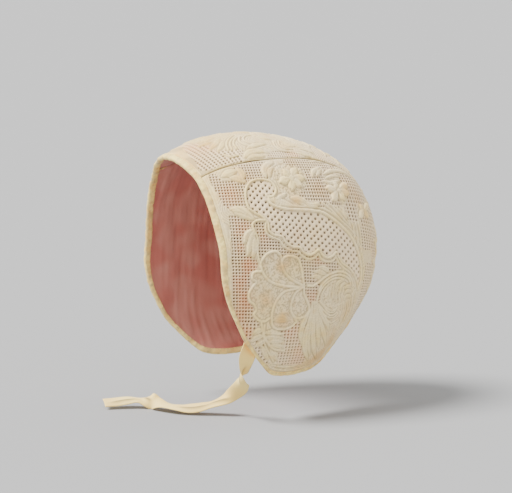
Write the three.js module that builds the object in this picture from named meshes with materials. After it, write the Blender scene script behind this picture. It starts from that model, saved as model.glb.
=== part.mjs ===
// Baby cap: a crown strip between two side panels of quilted cream cotton, a thin silk lining,
// ribbon bindings round the face and the neck, and one ribbon tie. Millimetres.
// Frame: the origin is the head's seat, at the inside top of the crown.
// +X is the wearer's left, the face looks along -Y, +Z is up.
import * as THREE from "three";

// Driving sizes
const CAP_WIDTH = 113;            // outside, at the ears
const CAP_DEPTH = 140;            // forehead edge to the back
const CAP_HEIGHT = 142;           // crown top to the lowest edge
const EAR_BACK = 16;              // centre of the side, behind the seat
const STRIP_WIDTH = 60;           // crown strip where it is widest, seam to seam
const QUILT = 1.6;                // quilted cotton
const LINING = 1.0;               // silk lining
const FACE_BINDING = 5;           // width of the ribbon round the face
const NECK_BINDING = 3.4;         // width of the ribbon round the lobes and the neck
const TIE_WIDTH = 10;
const TIE_THICKNESS = 1.0;
const GAP = 0.3;                  // between pieces that meet
const CREAM = 0xe9dcb9;
const RIBBON_CREAM = 0xe8d9ae;
const ROSE = 0xb9564c;

// Outline of the dome seen from the side, round the ear point: angle in degrees from the back
// towards the crown, and reach as a share of the cap's depth and height. In front of the face
// edge, past 131 degrees, the reach only sets how the cheek curves in.
const DOME = [
  [-102, 0.526], [-75, 0.473], [-50, 0.420], [-25, 0.432], [0, 0.500], [25, 0.570],
  [50, 0.602], [70, 0.604], [90, 0.616], [110, 0.656], [130, 0.707], [150, 0.756],
  [180, 0.829], [210, 0.781], [235, 0.624],
];
// Edge of the left half, from the middle of the forehead down the cheek, round the lobe and up
// to the nape: angle as above, and lean in degrees from the ear axis (90 is the midline).
const EDGE = [
  [131.0, 90.0], [131.2, 77.0], [132.0, 67.0], [133.9, 58.3], [138.5, 48.9],
  [146.7, 39.8], [157.0, 33.2], [170.6, 29.0], [185.0, 26.5], [201.8, 25.7],
  [219.9, 28.5], [237.4, 35.8], [251.1, 43.3], [263.6, 46.5], [279.3, 49.5],
  [294.6, 54.6], [313.0, 58.3], [329.5, 64.2], [337.5, 75.0], [340.0, 90.0],
];
const TAPER_ROW = 8;              // row of EDGE where the face binding starts to narrow
const TIE_ROW = 11;               // row of EDGE where the two bindings meet, above the tie
const LOBE_ROW = 15;              // row of EDGE at the back of the lobe
// Half of the crown strip: angle, and share of half its greatest width.
const STRIP = [
  [-40, 0.40], [-25, 0.40], [5, 0.42], [36, 0.54], [69, 0.84], [102, 1.00], [135, 0.91],
  [150, 0.85],
];
// Middle line of the tie, from under the left lobe's edge to its free end.
const TIE_ROUTE = [
  [45.2, -17.4, -116.8], [45.6, -20.1, -122.0], [44.3, -21.0, -127.3], [41.4, -20.7, -132.2],
  [37.6, -19.9, -136.8], [33.4, -19.2, -141.1], [29.0, -18.9, -145.0], [24.8, -19.4, -148.3],
  [20.8, -20.8, -151.2], [17.1, -23.2, -153.7], [13.7, -26.3, -155.6], [10.4, -30.1, -157.0],
  [7.1, -34.0, -158.0], [3.4, -37.7, -158.5], [-0.8, -41.0, -158.6], [-5.4, -43.7, -158.5],
  [-10.4, -46.0, -158.2], [-15.5, -48.1, -157.8], [-20.3, -50.6, -157.4], [-24.6, -53.6, -157.2],
  [-28.0, -57.6, -157.3], [-30.7, -62.5, -157.6], [-32.6, -68.0, -158.0], [-34.2, -73.6, -158.4],
];
// How the tie's width turns: share of its length, bearing and rise of the width in degrees.
const TIE_TURN = [
  [0.00, 113, -39], [0.12, 122, -26], [0.22, 150, -7], [0.33, 228, 42], [0.45, 320, 12],
  [0.58, 330, 28], [0.70, 332, 38], [0.78, 334, 58], [0.86, 335, 26], [1.00, 336, 24],
];

const WALL = QUILT + GAP + LINING;
const DEGREE = Math.PI / 180;
const STEP = 1e-3;                // small step for slopes
// Faces of each layer: along the crown seams, from the seam to the lobe, across the crown strip
const QUILT_STEPS = { seam: 24, down: 18, across: 8 };
const LINING_STEPS = { seam: 16, down: 12, across: 6 };
const FACE_STEPS = 84;
const NECK_STEPS = 60;

// Smooth curve through rows of [key, value, ...]
function through(rows, column, key) {
  const last = rows.length - 1;
  let i = 0;
  while (i < last - 1 && rows[i + 1][0] <= key) i += 1;
  const slope = (k) => {
    const a = Math.max(0, k - 1);
    const b = Math.min(last, k + 1);
    return (rows[b][column] - rows[a][column]) / (rows[b][0] - rows[a][0]);
  };
  const span = rows[i + 1][0] - rows[i][0];
  const t = Math.min(1, Math.max(0, (key - rows[i][0]) / span));
  const t2 = t * t;
  const t3 = t2 * t;
  return (2 * t3 - 3 * t2 + 1) * rows[i][column] + (t3 - 2 * t2 + t) * span * slope(i)
    + (3 * t2 - 2 * t3) * rows[i + 1][column] + (t3 - t2) * span * slope(i + 1);
}

// The dome's table closed on itself, with two rows more at each end
const DOME_RING = [
  ...DOME.slice(-2).map(([angle, reach]) => [angle - 360, reach]),
  ...DOME,
  ...DOME.slice(0, 2).map(([angle, reach]) => [angle + 360, reach]),
];
// The edge by row number, carried on past both midlines as its own mirror image
const mirrorRow = ([angle, lean], row) => [row, angle, 180 - lean];
const lastRow = EDGE.length - 1;
const EDGE_ROWS = [
  mirrorRow(EDGE[2], -2), mirrorRow(EDGE[1], -1),
  ...EDGE.map(([angle, lean], row) => [row, angle, lean]),
  mirrorRow(EDGE[lastRow - 1], lastRow + 1), mirrorRow(EDGE[lastRow - 2], lastRow + 2),
];

// Height of the ear point: the crown's highest point lies one wall above the seat
const highest = Math.max(...Array.from({ length: 90 }, (_, i) => 45 + i)
  .map((angle) => through(DOME_RING, 1, angle) * Math.sin(angle * DEGREE)));
const EAR_UP = WALL - highest * CAP_HEIGHT;

// A spot on the dome is kept as a point of a flat map: lean in radians away from the ear point,
// in the direction of the angle. Leans past a right angle are on the wearer's right.
const spot = (angle, lean) => new THREE.Vector2(
  lean * DEGREE * Math.cos(angle * DEGREE), lean * DEGREE * Math.sin(angle * DEGREE));
const angleOf = (s) => {
  const angle = Math.atan2(s.y, s.x) / DEGREE;
  return angle < DOME[0][0] ? angle + 360 : angle;
};
const leanOf = (s) => s.length() / DEGREE;

// Outer surface of the quilt at a spot
function surface(s) {
  const angle = angleOf(s);
  const lean = s.length();
  const reach = through(DOME_RING, 1, angle) * Math.sin(lean);
  return new THREE.Vector3(
    (CAP_WIDTH / 2) * Math.cos(lean),
    EAR_BACK + CAP_DEPTH * reach * Math.cos(angle * DEGREE),
    EAR_UP + CAP_HEIGHT * reach * Math.sin(angle * DEGREE));
}

// The two slopes of the surface at a spot
function slopes(s) {
  const slope = (dx, dy) => surface(new THREE.Vector2(s.x + dx, s.y + dy))
    .sub(surface(new THREE.Vector2(s.x - dx, s.y - dy)))
    .divideScalar(2 * STEP);
  return [slope(STEP, 0), slope(0, STEP)];
}

function outward(s) {
  const [a, b] = slopes(s);
  return a.cross(b).normalize();
}

// Point at a depth below the outer surface
const below = (s, depth) => surface(s).addScaledVector(outward(s), -depth);

// Spot reached from s by a short way over the surface
function shifted(s, way) {
  const [a, b] = slopes(s);
  const aa = a.dot(a);
  const ab = a.dot(b);
  const bb = b.dot(b);
  const pa = a.dot(way);
  const pb = b.dot(way);
  const det = aa * bb - ab * ab;
  return new THREE.Vector2(s.x + (bb * pa - ab * pb) / det, s.y + (aa * pb - ab * pa) / det);
}

const edgeSpot = (row) => spot(through(EDGE_ROWS, 1, row), through(EDGE_ROWS, 2, row));

// Spot at a distance inward from the edge
function insideEdge(row, distance) {
  const s = edgeSpot(row);
  const along = surface(edgeSpot(row + STEP)).sub(surface(edgeSpot(row - STEP)));
  return shifted(s, outward(s).cross(along).normalize().multiplyScalar(distance));
}

const seamLean = (angle) => Math.acos(through(STRIP, 1, angle) * STRIP_WIDTH / CAP_WIDTH) / DEGREE;

// Spot of the left crown seam, moved towards the ear (+) or the midline (-)
function seamSpot(angle, distance) {
  const s = spot(angle, seamLean(angle));
  const along = surface(spot(angle + STEP, seamLean(angle + STEP)))
    .sub(surface(spot(angle - STEP, seamLean(angle - STEP))));
  return shifted(s, outward(s).cross(along).normalize().multiplyScalar(distance));
}

// Key between low and high where a rising or falling value passes zero
function crossing(value, low, high) {
  const sign = Math.sign(value(low));
  let a = low;
  let b = high;
  for (let i = 0; i < 40; i += 1) {
    const middle = (a + b) / 2;
    if (Math.sign(value(middle)) === sign) a = middle;
    else b = middle;
  }
  return (a + b) / 2;
}

// Width of the binding at a row of the edge
function bindingWidth(row) {
  const share = THREE.MathUtils.smoothstep(row, TAPER_ROW, TIE_ROW);
  return THREE.MathUtils.lerp(FACE_BINDING, NECK_BINDING, share);
}
// Spot where the quilt and the lining stop short of the binding
const quiltEdge = (row) => insideEdge(row, bindingWidth(row) + GAP);

// Row of the edge whose inset spot lies on the strip's line at a share of its half width
function rowOnLine(share, low, high) {
  const offLine = (row) => {
    const s = quiltEdge(row);
    const line = share * through(STRIP, 1, angleOf(s)) * STRIP_WIDTH / 2;
    return surface(s).x - line;
  };
  return crossing(offLine, low, high);
}
const frontRow = (share) => rowOnLine(share, -3 * STEP, TAPER_ROW);
const napeRow = (share) => rowOnLine(share, LOBE_ROW, lastRow + 3 * STEP);

// Closed mesh from two sheets of points, rows by columns, the first one outside
function solidBetween(outer, inner) {
  const rows = outer.length;
  const columns = outer[0].length;
  const points = [...outer.flat(), ...inner.flat()];
  const at = (r, c, layer) => layer * rows * columns + r * columns + c;
  const index = [];
  const quad = (a, b, c, d) => index.push(a, b, c, a, c, d);
  for (let r = 0; r < rows - 1; r += 1) {
    for (let c = 0; c < columns - 1; c += 1) {
      quad(at(r, c, 0), at(r + 1, c, 0), at(r + 1, c + 1, 0), at(r, c + 1, 0));
      quad(at(r, c, 1), at(r, c + 1, 1), at(r + 1, c + 1, 1), at(r + 1, c, 1));
    }
    quad(at(r, 0, 0), at(r, 0, 1), at(r + 1, 0, 1), at(r + 1, 0, 0));
    quad(at(r, columns - 1, 0), at(r + 1, columns - 1, 0),
      at(r + 1, columns - 1, 1), at(r, columns - 1, 1));
  }
  for (let c = 0; c < columns - 1; c += 1) {
    quad(at(0, c, 0), at(0, c + 1, 0), at(0, c + 1, 1), at(0, c, 1));
    quad(at(rows - 1, c, 0), at(rows - 1, c, 1), at(rows - 1, c + 1, 1), at(rows - 1, c + 1, 0));
  }
  return meshOf(points, index);
}

// Closed mesh from a row of closed sections with flat ends
function solidThrough(sections) {
  const sides = sections[0].length;
  const points = sections.flat();
  const index = [];
  for (let i = 0; i < sections.length - 1; i += 1) {
    for (let k = 0; k < sides; k += 1) {
      const next = (k + 1) % sides;
      const a = i * sides + k;
      const b = i * sides + next;
      index.push(a, b, b + sides, a, b + sides, a + sides);
    }
  }
  const end = (sections.length - 1) * sides;
  for (let k = 1; k < sides - 1; k += 1) {
    index.push(0, k + 1, k, end, end + k, end + k + 1);
  }
  return meshOf(points, index);
}

function meshOf(points, index) {
  const geometry = new THREE.BufferGeometry().setFromPoints(points);
  geometry.setIndex(index);
  return geometry;
}

// Mirror image across the midline plane, with its faces turned back outward
function mirrored(geometry) {
  const copy = geometry.clone();
  copy.scale(-1, 1, 1);
  const turned = [];
  const { array } = copy.index;
  for (let i = 0; i < array.length; i += 3) turned.push(array[i], array[i + 2], array[i + 1]);
  copy.setIndex(turned);
  return copy;
}

// Left side panel at a depth: a sheet from the crown seam to the lobe
function sidePanel(depth, thickness, steps) {
  const front = frontRow(1);
  const nape = napeRow(1);
  const frontAngle = angleOf(quiltEdge(front));
  const napeAngle = angleOf(quiltEdge(nape));
  const { lerp } = THREE.MathUtils;
  const top = (u) => seamSpot(lerp(frontAngle, napeAngle, u), GAP / 2);
  const cheek = (v) => quiltEdge(lerp(front, TIE_ROW, v));
  const bottom = (u) => quiltEdge(lerp(TIE_ROW, LOBE_ROW, u));
  const neck = (v) => quiltEdge(lerp(nape, LOBE_ROW, v));
  const corners = [top(0), top(1), bottom(0), bottom(1)];
  const blendSpot = (u, v) => {
    const s = new THREE.Vector2();
    s.addScaledVector(top(u), 1 - v).addScaledVector(bottom(u), v);
    const left = v === 0 ? corners[0] : cheek(v);
    const right = v === 0 ? corners[1] : neck(v);
    s.addScaledVector(left, 1 - u).addScaledVector(right, u);
    s.addScaledVector(corners[0], -(1 - u) * (1 - v)).addScaledVector(corners[1], -u * (1 - v));
    return s.addScaledVector(corners[2], -(1 - u) * v).addScaledVector(corners[3], -u * v);
  };
  const sheet = (level) => Array.from({ length: steps.down + 1 }, (_, j) =>
    Array.from({ length: steps.seam + 1 }, (__, i) =>
      below(blendSpot(i / steps.seam, j / steps.down), level)));
  return solidBetween(sheet(depth), sheet(depth + thickness));
}

// Crown strip at a depth: a sheet from one crown seam to the other
function crownStrip(depth, thickness, steps) {
  const sheet = (level) => Array.from({ length: steps.across + 1 }, (_, j) => {
    const share = 1 - 2 * j / steps.across;
    const size = Math.abs(share);
    const a = angleOf(quiltEdge(frontRow(size)));
    const b = angleOf(quiltEdge(napeRow(size)));
    return Array.from({ length: steps.seam + 1 }, (__, i) => {
      const angle = a + (b - a) * i / steps.seam;
      const edge = leanOf(seamSpot(angle, -GAP / 2));
      const x = Math.cos(edge * DEGREE) * size;
      const point = below(spot(angle, Math.acos(x) / DEGREE), level);
      if (share < 0) point.x *= -1;
      if (share === 0) point.x = 0;
      return point;
    });
  }).reverse();
  return solidBetween(sheet(depth), sheet(depth + thickness));
}

// Ribbon folded over the edge, between two rows of the edge; rows below zero and past the nape
// run up the wearer's right side
function binding(first, last, steps) {
  const profile = [
    [0, 0.5], [0.12, 0.84], [0.34, 1], [1, 1], [1, 0], [0.34, 0], [0.12, 0.16],
  ];
  const point = (row, inward, depth) => {
    const right = row < 0 || row > lastRow;
    const own = row < 0 ? -row : Math.min(row, 2 * lastRow - row);
    const p = below(insideEdge(own, inward * bindingWidth(own)), depth);
    if (right) p.x *= -1;
    if (row === 0) p.x = 0;
    return p;
  };
  const sections = Array.from({ length: steps + 1 }, (_, i) => {
    const row = first + (last - first) * i / steps;
    return profile.map(([inward, depth]) => point(row, inward, depth * WALL));
  });
  return solidThrough(sections);
}

// The tie: a flat ribbon along its route
function tie() {
  const curve = new THREE.CatmullRomCurve3(TIE_ROUTE.map((p) => new THREE.Vector3(...p)));
  const steps = 2 * (TIE_ROUTE.length - 1);
  const w = TIE_WIDTH / 2;
  const h = TIE_THICKNESS / 2;
  const section = [
    [w, -0.4 * h], [w, 0.4 * h], [0.9 * w, h], [-0.9 * w, h],
    [-w, 0.4 * h], [-w, -0.4 * h], [-0.9 * w, -h], [0.9 * w, -h],
  ];
  const sections = Array.from({ length: steps + 1 }, (_, i) => {
    const share = i / steps;
    const centre = curve.getPointAt(share);
    const along = curve.getTangentAt(share);
    const bearing = through(TIE_TURN, 1, share) * DEGREE;
    const rise = through(TIE_TURN, 2, share) * DEGREE;
    const across = new THREE.Vector3(
      Math.cos(bearing) * Math.cos(rise), Math.sin(bearing) * Math.cos(rise), Math.sin(rise));
    across.addScaledVector(along, -across.dot(along)).normalize();
    const face = along.clone().cross(across);
    return section.map(([a, b]) => centre.clone().addScaledVector(across, a)
      .addScaledVector(face, b));
  });
  return solidThrough(sections);
}

const cotton = new THREE.MeshStandardMaterial({ color: CREAM, roughness: 0.85, metalness: 0 });
const ribbon = new THREE.MeshStandardMaterial({ color: RIBBON_CREAM, roughness: 0.6, metalness: 0 });
const silk = new THREE.MeshStandardMaterial({ color: ROSE, roughness: 0.55, metalness: 0 });

const cap = new THREE.Group();
function add(name, geometry, material) {
  const piece = new THREE.Mesh(geometry, material);
  piece.name = name;
  cap.add(piece);
}

const quiltPanel = sidePanel(0, QUILT, QUILT_STEPS);
const liningPanel = sidePanel(QUILT + GAP, LINING, LINING_STEPS);
add("side_panel_left", quiltPanel, cotton);
add("side_panel_right", mirrored(quiltPanel), cotton);
add("crown_strip", crownStrip(0, QUILT, QUILT_STEPS), cotton);
add("lining_left", liningPanel, silk);
add("lining_right", mirrored(liningPanel), silk);
add("lining_crown", crownStrip(QUILT + GAP, LINING, LINING_STEPS), silk);
const jointGap = 0.05;            // in rows of EDGE, between the ends of the two bindings
add("face_binding", binding(-TIE_ROW, TIE_ROW, FACE_STEPS), ribbon);
add("neck_binding", binding(TIE_ROW + jointGap, 2 * lastRow - TIE_ROW - jointGap, NECK_STEPS), ribbon);
add("tie_ribbon", tie(), ribbon);

export default cap;
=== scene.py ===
import bpy
import numpy as np
from mathutils import Matrix


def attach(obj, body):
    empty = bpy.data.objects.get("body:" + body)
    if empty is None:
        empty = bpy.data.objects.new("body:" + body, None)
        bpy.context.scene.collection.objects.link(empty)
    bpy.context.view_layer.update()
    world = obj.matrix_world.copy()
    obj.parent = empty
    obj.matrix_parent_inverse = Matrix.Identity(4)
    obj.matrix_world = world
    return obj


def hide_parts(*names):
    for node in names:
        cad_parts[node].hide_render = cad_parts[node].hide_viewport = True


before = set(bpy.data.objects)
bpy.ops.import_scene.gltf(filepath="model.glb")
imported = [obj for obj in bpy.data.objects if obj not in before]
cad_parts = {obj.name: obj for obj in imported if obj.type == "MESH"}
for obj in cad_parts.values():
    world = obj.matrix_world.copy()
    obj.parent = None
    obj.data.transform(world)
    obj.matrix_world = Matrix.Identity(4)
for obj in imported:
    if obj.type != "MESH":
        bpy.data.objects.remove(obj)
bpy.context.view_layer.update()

MM = 0.001

# Sizes and tables of the part, in millimetres and degrees
CAP_WIDTH = 113
CAP_DEPTH = 140
CAP_HEIGHT = 142
EAR_BACK = 16
STRIP_WIDTH = 60
WALL = 2.9
DOME = [
    (-102, 0.526), (-75, 0.473), (-50, 0.420), (-25, 0.432), (0, 0.500), (25, 0.570),
    (50, 0.602), (70, 0.604), (90, 0.616), (110, 0.656), (130, 0.707), (150, 0.756),
    (180, 0.829), (210, 0.781), (235, 0.624),
]
EDGE = [
    (131.0, 90.0), (131.2, 77.0), (132.0, 67.0), (133.9, 58.3), (138.5, 48.9),
    (146.7, 39.8), (157.0, 33.2), (170.6, 29.0), (185.0, 26.5), (201.8, 25.7),
    (219.9, 28.5), (237.4, 35.8), (251.1, 43.3), (263.6, 46.5), (279.3, 49.5),
    (294.6, 54.6), (313.0, 58.3), (329.5, 64.2), (337.5, 75.0), (340.0, 90.0),
]
TIE_ROW = 11
STRIP = [
    (-40, 0.40), (-25, 0.40), (5, 0.42), (36, 0.54), (69, 0.84), (102, 1.00), (135, 0.91),
    (150, 0.85),
]
TIE_ROUTE = [
    (45.2, -17.4, -116.8), (45.6, -20.1, -122.0), (44.3, -21.0, -127.3), (41.4, -20.7, -132.2),
    (37.6, -19.9, -136.8), (33.4, -19.2, -141.1), (29.0, -18.9, -145.0), (24.8, -19.4, -148.3),
    (20.8, -20.8, -151.2), (17.1, -23.2, -153.7), (13.7, -26.3, -155.6), (10.4, -30.1, -157.0),
    (7.1, -34.0, -158.0), (3.4, -37.7, -158.5), (-0.8, -41.0, -158.6), (-5.4, -43.7, -158.5),
    (-10.4, -46.0, -158.2), (-15.5, -48.1, -157.8), (-20.3, -50.6, -157.4),
    (-24.6, -53.6, -157.2), (-28.0, -57.6, -157.3), (-30.7, -62.5, -157.6),
    (-32.6, -68.0, -158.0), (-34.2, -73.6, -158.4),
]
# Share of the tie's length, bearing and rise of its width in degrees
TIE_TURN = [
    (0.00, 85, -49), (0.06, 92, -42), (0.10, 112, -32), (0.14, 136, -16), (0.18, 156, 2),
    (0.21, 190, 12), (0.25, 222, 20), (0.29, 232, 24), (0.33, 218, 26), (0.38, 180, 22),
    (0.44, 160, 17), (0.50, 157, 22), (0.55, 154, 20), (0.60, 152, 10), (0.68, 152, 8),
    (0.735, 152, 42), (0.76, 157, 74), (0.79, 152, 38), (0.83, 151, 12), (0.88, 151, 18),
    (1.00, 151, 20),
]
# Share of the tie's length, share of its full width, and how far its middle cups, in mm
TIE_FORM = [
    (0.00, 1.05, 0.2), (0.06, 0.98, 0.6), (0.11, 0.80, 1.6), (0.16, 0.68, 3.2), (0.20, 0.72, 3.2),
    (0.25, 0.90, 1.6), (0.29, 0.95, 1.2), (0.34, 0.80, 1.0), (0.42, 0.75, 0.8), (0.50, 0.90, 1.4),
    (0.58, 0.90, 1.0), (0.66, 0.80, 0.6), (0.73, 0.80, 1.0), (0.76, 1.00, 1.4),
    (0.785, 0.80, 1.4), (0.82, 0.70, 1.0), (0.90, 0.95, 1.2), (1.00, 0.90, 0.9),
]
# Share of the tie's length, and how far its turn bulges to the camera's right, in mm
TIE_SHIFT = [
    (0, 0), (0.08, 0.2), (0.15, 0.9), (0.20, 1.7), (0.27, 2.4), (0.33, 1.4), (0.40, 0.3),
    (0.46, 0), (1, 0),
]
# Creases along the tie: share of the length, half their length, place across from -1 to 1
TIE_CREASES = [
    (0.17, 0.05, 0.3), (0.40, 0.05, -0.2), (0.52, 0.08, -0.45), (0.785, 0.02, 0.2),
    (0.90, 0.07, -0.45),
]
TIE_LOWEST = -162.1
TIE_WIDTH = 10
TIE_THICKNESS = 0.35


def through(rows, column, key):
    """Smooth curve through rows of (key, value, ...), the same one as in the part's source."""
    table = np.array(rows, float)
    keys = table[:, 0]
    values = table[:, column]
    key = np.asarray(key, float)
    last = len(keys) - 1
    i = np.clip(np.searchsorted(keys, key, side="right") - 1, 0, last - 1)
    low = np.maximum(np.arange(last + 1) - 1, 0)
    high = np.minimum(np.arange(last + 1) + 1, last)
    slope = (values[high] - values[low]) / (keys[high] - keys[low])
    span = keys[i + 1] - keys[i]
    t = np.clip((key - keys[i]) / span, 0, 1)
    t2 = t * t
    t3 = t2 * t
    start = (2 * t3 - 3 * t2 + 1) * values[i] + (t3 - 2 * t2 + t) * span * slope[i]
    end = (3 * t2 - 2 * t3) * values[i + 1] + (t3 - t2) * span * slope[i + 1]
    return start + end


def unit(v):
    return v / np.linalg.norm(v, axis=-1, keepdims=True)


def smoothstep(low, high, x):
    t = np.clip((x - low) / (high - low), 0, 1)
    return t * t * (3 - 2 * t)


DOME_RING = [(a - 360, r) for a, r in DOME[-2:]] + DOME + [(a + 360, r) for a, r in DOME[:2]]
LAST = len(EDGE) - 1
EDGE_ROWS = (
    [(row, EDGE[-row][0], 180 - EDGE[-row][1]) for row in (-2, -1)]
    + [(row, angle, lean) for row, (angle, lean) in enumerate(EDGE)]
    + [(LAST + k, EDGE[LAST - k][0], 180 - EDGE[LAST - k][1]) for k in (1, 2)]
)


def reach_at(angle):
    return through(DOME_RING, 1, (angle - DOME[0][0]) % 360 + DOME[0][0])


CROWN_ANGLES = np.arange(45, 135)
HIGHEST = np.max(reach_at(CROWN_ANGLES) * np.sin(np.radians(CROWN_ANGLES)))
EAR_UP = WALL - HIGHEST * CAP_HEIGHT


def dome(angle, lean):
    """Outer surface at an angle and a lean in degrees, millimetres."""
    a = np.radians(angle)
    b = np.radians(lean)
    reach = reach_at(angle) * np.sin(b)
    return np.stack([
        CAP_WIDTH / 2 * np.cos(b) + 0 * a,
        EAR_BACK + CAP_DEPTH * reach * np.cos(a),
        EAR_UP + CAP_HEIGHT * reach * np.sin(a),
    ], -1)


# Camera: the photo's viewing angle, 60 degrees round from the front and 7.5 above level
AZIMUTH = np.radians(60)
RISE = np.radians(7.5)
CAMERA_DISTANCE = 1.2
MM_PER_PIXEL = 0.6
PICTURE_WIDTH = 512
SENSOR = 36
TARGET = np.array([0, 12, -66]) * MM
back = np.array([
    np.sin(AZIMUTH) * np.cos(RISE), -np.cos(AZIMUTH) * np.cos(RISE), np.sin(RISE)])
right = np.array([np.cos(AZIMUTH), np.sin(AZIMUTH), 0])
up = np.cross(back, right)
camera_data = bpy.data.cameras.new("camera")
camera_data.sensor_width = SENSOR
camera_data.lens = SENSOR * CAMERA_DISTANCE / (MM_PER_PIXEL * MM * PICTURE_WIDTH)
camera_data.clip_start = 0.01
camera_data.clip_end = 100
camera = bpy.data.objects.new("camera", camera_data)
place = np.eye(4)
place[:3, :3] = np.stack([right, up, back], 1)
place[:3, 3] = TARGET + CAMERA_DISTANCE * back
camera.matrix_world = Matrix(place.tolist())
bpy.context.scene.collection.objects.link(camera)
bpy.context.scene.camera = camera


def make_mesh(name, points, faces, paint, material, node):
    """Object at the origin from points in millimetres, faces of equal size and vertex colours."""
    faces = np.asarray(faces)
    mesh = bpy.data.meshes.new(name)
    mesh.vertices.add(len(points))
    mesh.vertices.foreach_set("co", (np.asarray(points) * MM).astype(np.float32).ravel())
    mesh.loops.add(faces.size)
    mesh.loops.foreach_set("vertex_index", faces.astype(np.int32).ravel())
    mesh.polygons.add(len(faces))
    sides = faces.shape[1]
    mesh.polygons.foreach_set("loop_start", np.arange(0, faces.size, sides, dtype=np.int32))
    mesh.update(calc_edges=True)
    mesh.polygons.foreach_set("use_smooth", np.ones(len(faces), bool))
    layer = mesh.attributes.new("paint", "FLOAT_COLOR", "POINT")
    rgba = np.ones((len(points), 4), np.float32)
    rgba[:, :3] = paint
    layer.data.foreach_set("color", rgba.ravel())
    mesh.materials.append(material)
    mesh.validate()
    piece = bpy.data.objects.new(name, mesh)
    bpy.context.scene.collection.objects.link(piece)
    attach(piece, "root")
    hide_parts(node)
    return piece


def noise(x, y, size, seed):
    """Smooth value noise from 0 to 1, seeded, for arrays of places in millimetres."""
    cells = 64
    grid = np.random.default_rng(seed).random((cells, cells))
    u = np.asarray(x, float) / size
    v = np.asarray(y, float) / size
    i = np.floor(u).astype(int)
    j = np.floor(v).astype(int)
    a = smoothstep(0, 1, u - i)
    b = smoothstep(0, 1, v - j)
    i0, i1, j0, j1 = i % cells, (i + 1) % cells, j % cells, (j + 1) % cells
    low = grid[i0, j0] * (1 - a) + grid[i1, j0] * a
    high = grid[i0, j1] * (1 - a) + grid[i1, j1] * a
    return low * (1 - b) + high * b


def cloudy(x, y, size, seed):
    """Softer noise from 0 to 1, turned three ways so that no squares show."""
    total = 0
    for k, turn in enumerate((0.3, 1.4, 2.4)):
        c = np.cos(turn)
        s = np.sin(turn)
        total = total + noise(c * x + s * y, c * y - s * x, size * (1 - 0.22 * k), seed + 500 + k)
    return total / 3


def cloth(name, roughness, sheen, weave_scale, weave_depth):
    """Woven material whose colour is the vertices' paint. The weave's depth is in metres."""
    material = bpy.data.materials.new(name)
    material.use_nodes = True
    nodes = material.node_tree.nodes
    links = material.node_tree.links
    shader = nodes["Principled BSDF"]
    shader.inputs["Roughness"].default_value = roughness
    shader.inputs["Specular IOR Level"].default_value = 0.25
    shader.inputs["Sheen Weight"].default_value = sheen
    shader.inputs["Sheen Roughness"].default_value = 0.5
    paint = nodes.new("ShaderNodeAttribute")
    paint.attribute_name = "paint"
    links.new(paint.outputs["Color"], shader.inputs["Base Color"])
    place = nodes.new("ShaderNodeTexCoord")
    weave = nodes.new("ShaderNodeTexNoise")
    weave.inputs["Scale"].default_value = weave_scale
    weave.inputs["Detail"].default_value = 2
    links.new(place.outputs["Object"], weave.inputs["Vector"])
    bump = nodes.new("ShaderNodeBump")
    bump.inputs["Distance"].default_value = weave_depth
    bump.inputs["Strength"].default_value = 0.6
    links.new(weave.outputs["Fac"], bump.inputs["Height"])
    links.new(bump.outputs["Normal"], shader.inputs["Normal"])
    return material


cotton = cloth("quilted_cotton", 0.85, 0.10, 2600, 0.00012)
silk = cloth("silk_lining", 0.55, 0.25, 900, 0.00010)
ribbon = cloth("ribbon", 0.62, 0.15, 2200, 0.00008)

CREAM = np.array([0.98, 0.80, 0.45])
YELLOW = np.array([0.97, 0.74, 0.28])
PINK = np.array([0.94, 0.71, 0.49])
STAIN = np.array([0.82, 0.48, 0.13])
BLUSH = np.array([0.88, 0.36, 0.16])
# Painted shade for hollows, grooves, pits, veins, creases, stitching and the binding's edge; also the
# colour of the binding's specks of dirt
SHADE_AND_SPECK_BROWN = np.array([0.40, 0.30, 0.16])
# Holes: the lining seen through them, painted dark as its shade; the fine one is also the tie's painted
# crease shade
FINE_HOLE_AND_CREASE_SHADE = np.array([0.06, 0.03, 0.02])
FRONT_HOLE_SHADE = np.array([0.20, 0.07, 0.03])
COARSE_HOLE_SHADE = np.array([0.05, 0.035, 0.03])
# Painted shade along the seams
SEAM_SHADE = np.array([0.12, 0.08, 0.04])
RIBBON_CREAM = np.array([0.99, 0.77, 0.26])
RIBBON_STAIN = np.array([0.80, 0.48, 0.13])
ROSE = np.array([0.55, 0.18, 0.145])
ROSE_PALE = np.array([0.62, 0.27, 0.215])


def mix(colour, other, share):
    share = np.clip(share, 0, 1)[..., None]
    return colour * (1 - share) + other * share


def curve_through(points, steps):
    """Points evenly along a smooth curve through the given ones, and its directions."""
    p = np.array(points, float)
    p = np.vstack([2 * p[0] - p[1], p, 2 * p[-1] - p[-2]])
    t = np.linspace(0, 1, 12, endpoint=False)[:, None]
    fine = []
    for a, b, c, d in zip(p, p[1:], p[2:], p[3:]):
        fine.append(0.5 * (
            2 * b + (c - a) * t + (2 * a - 5 * b + 4 * c - d) * t**2
            + (3 * b - a - 3 * c + d) * t**3))
    fine = np.vstack(fine + [p[-2][None]])
    run = np.concatenate([[0], np.cumsum(np.linalg.norm(np.diff(fine, axis=0), axis=1))])
    even = np.linspace(0, run[-1], steps)
    line = np.stack([np.interp(even, run, fine[:, k]) for k in range(p.shape[1])], -1)
    return line, unit(np.gradient(line, axis=0)), run[-1]


def tube(steps, around):
    """Vertex numbers of a tube's rings, and the quads between them."""
    index = np.arange(steps * around).reshape(steps, around)
    after = np.roll(index, -1, axis=1)
    return index, np.stack([index[:-1], after[:-1], after[1:], index[1:]], -1).reshape(-1, 4)


# The tie: a limp flat ribbon that hangs from under the left lobe and lies on the floor
TIE_STEPS = 220
TIE_ACROSS = 15
CREASE_DEPTH = 0.9
CREASE_HALF = 0.28                # half its width, where the tie's is 1
CREASE_LINE = 0.15                # half the width of its dark line


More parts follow.
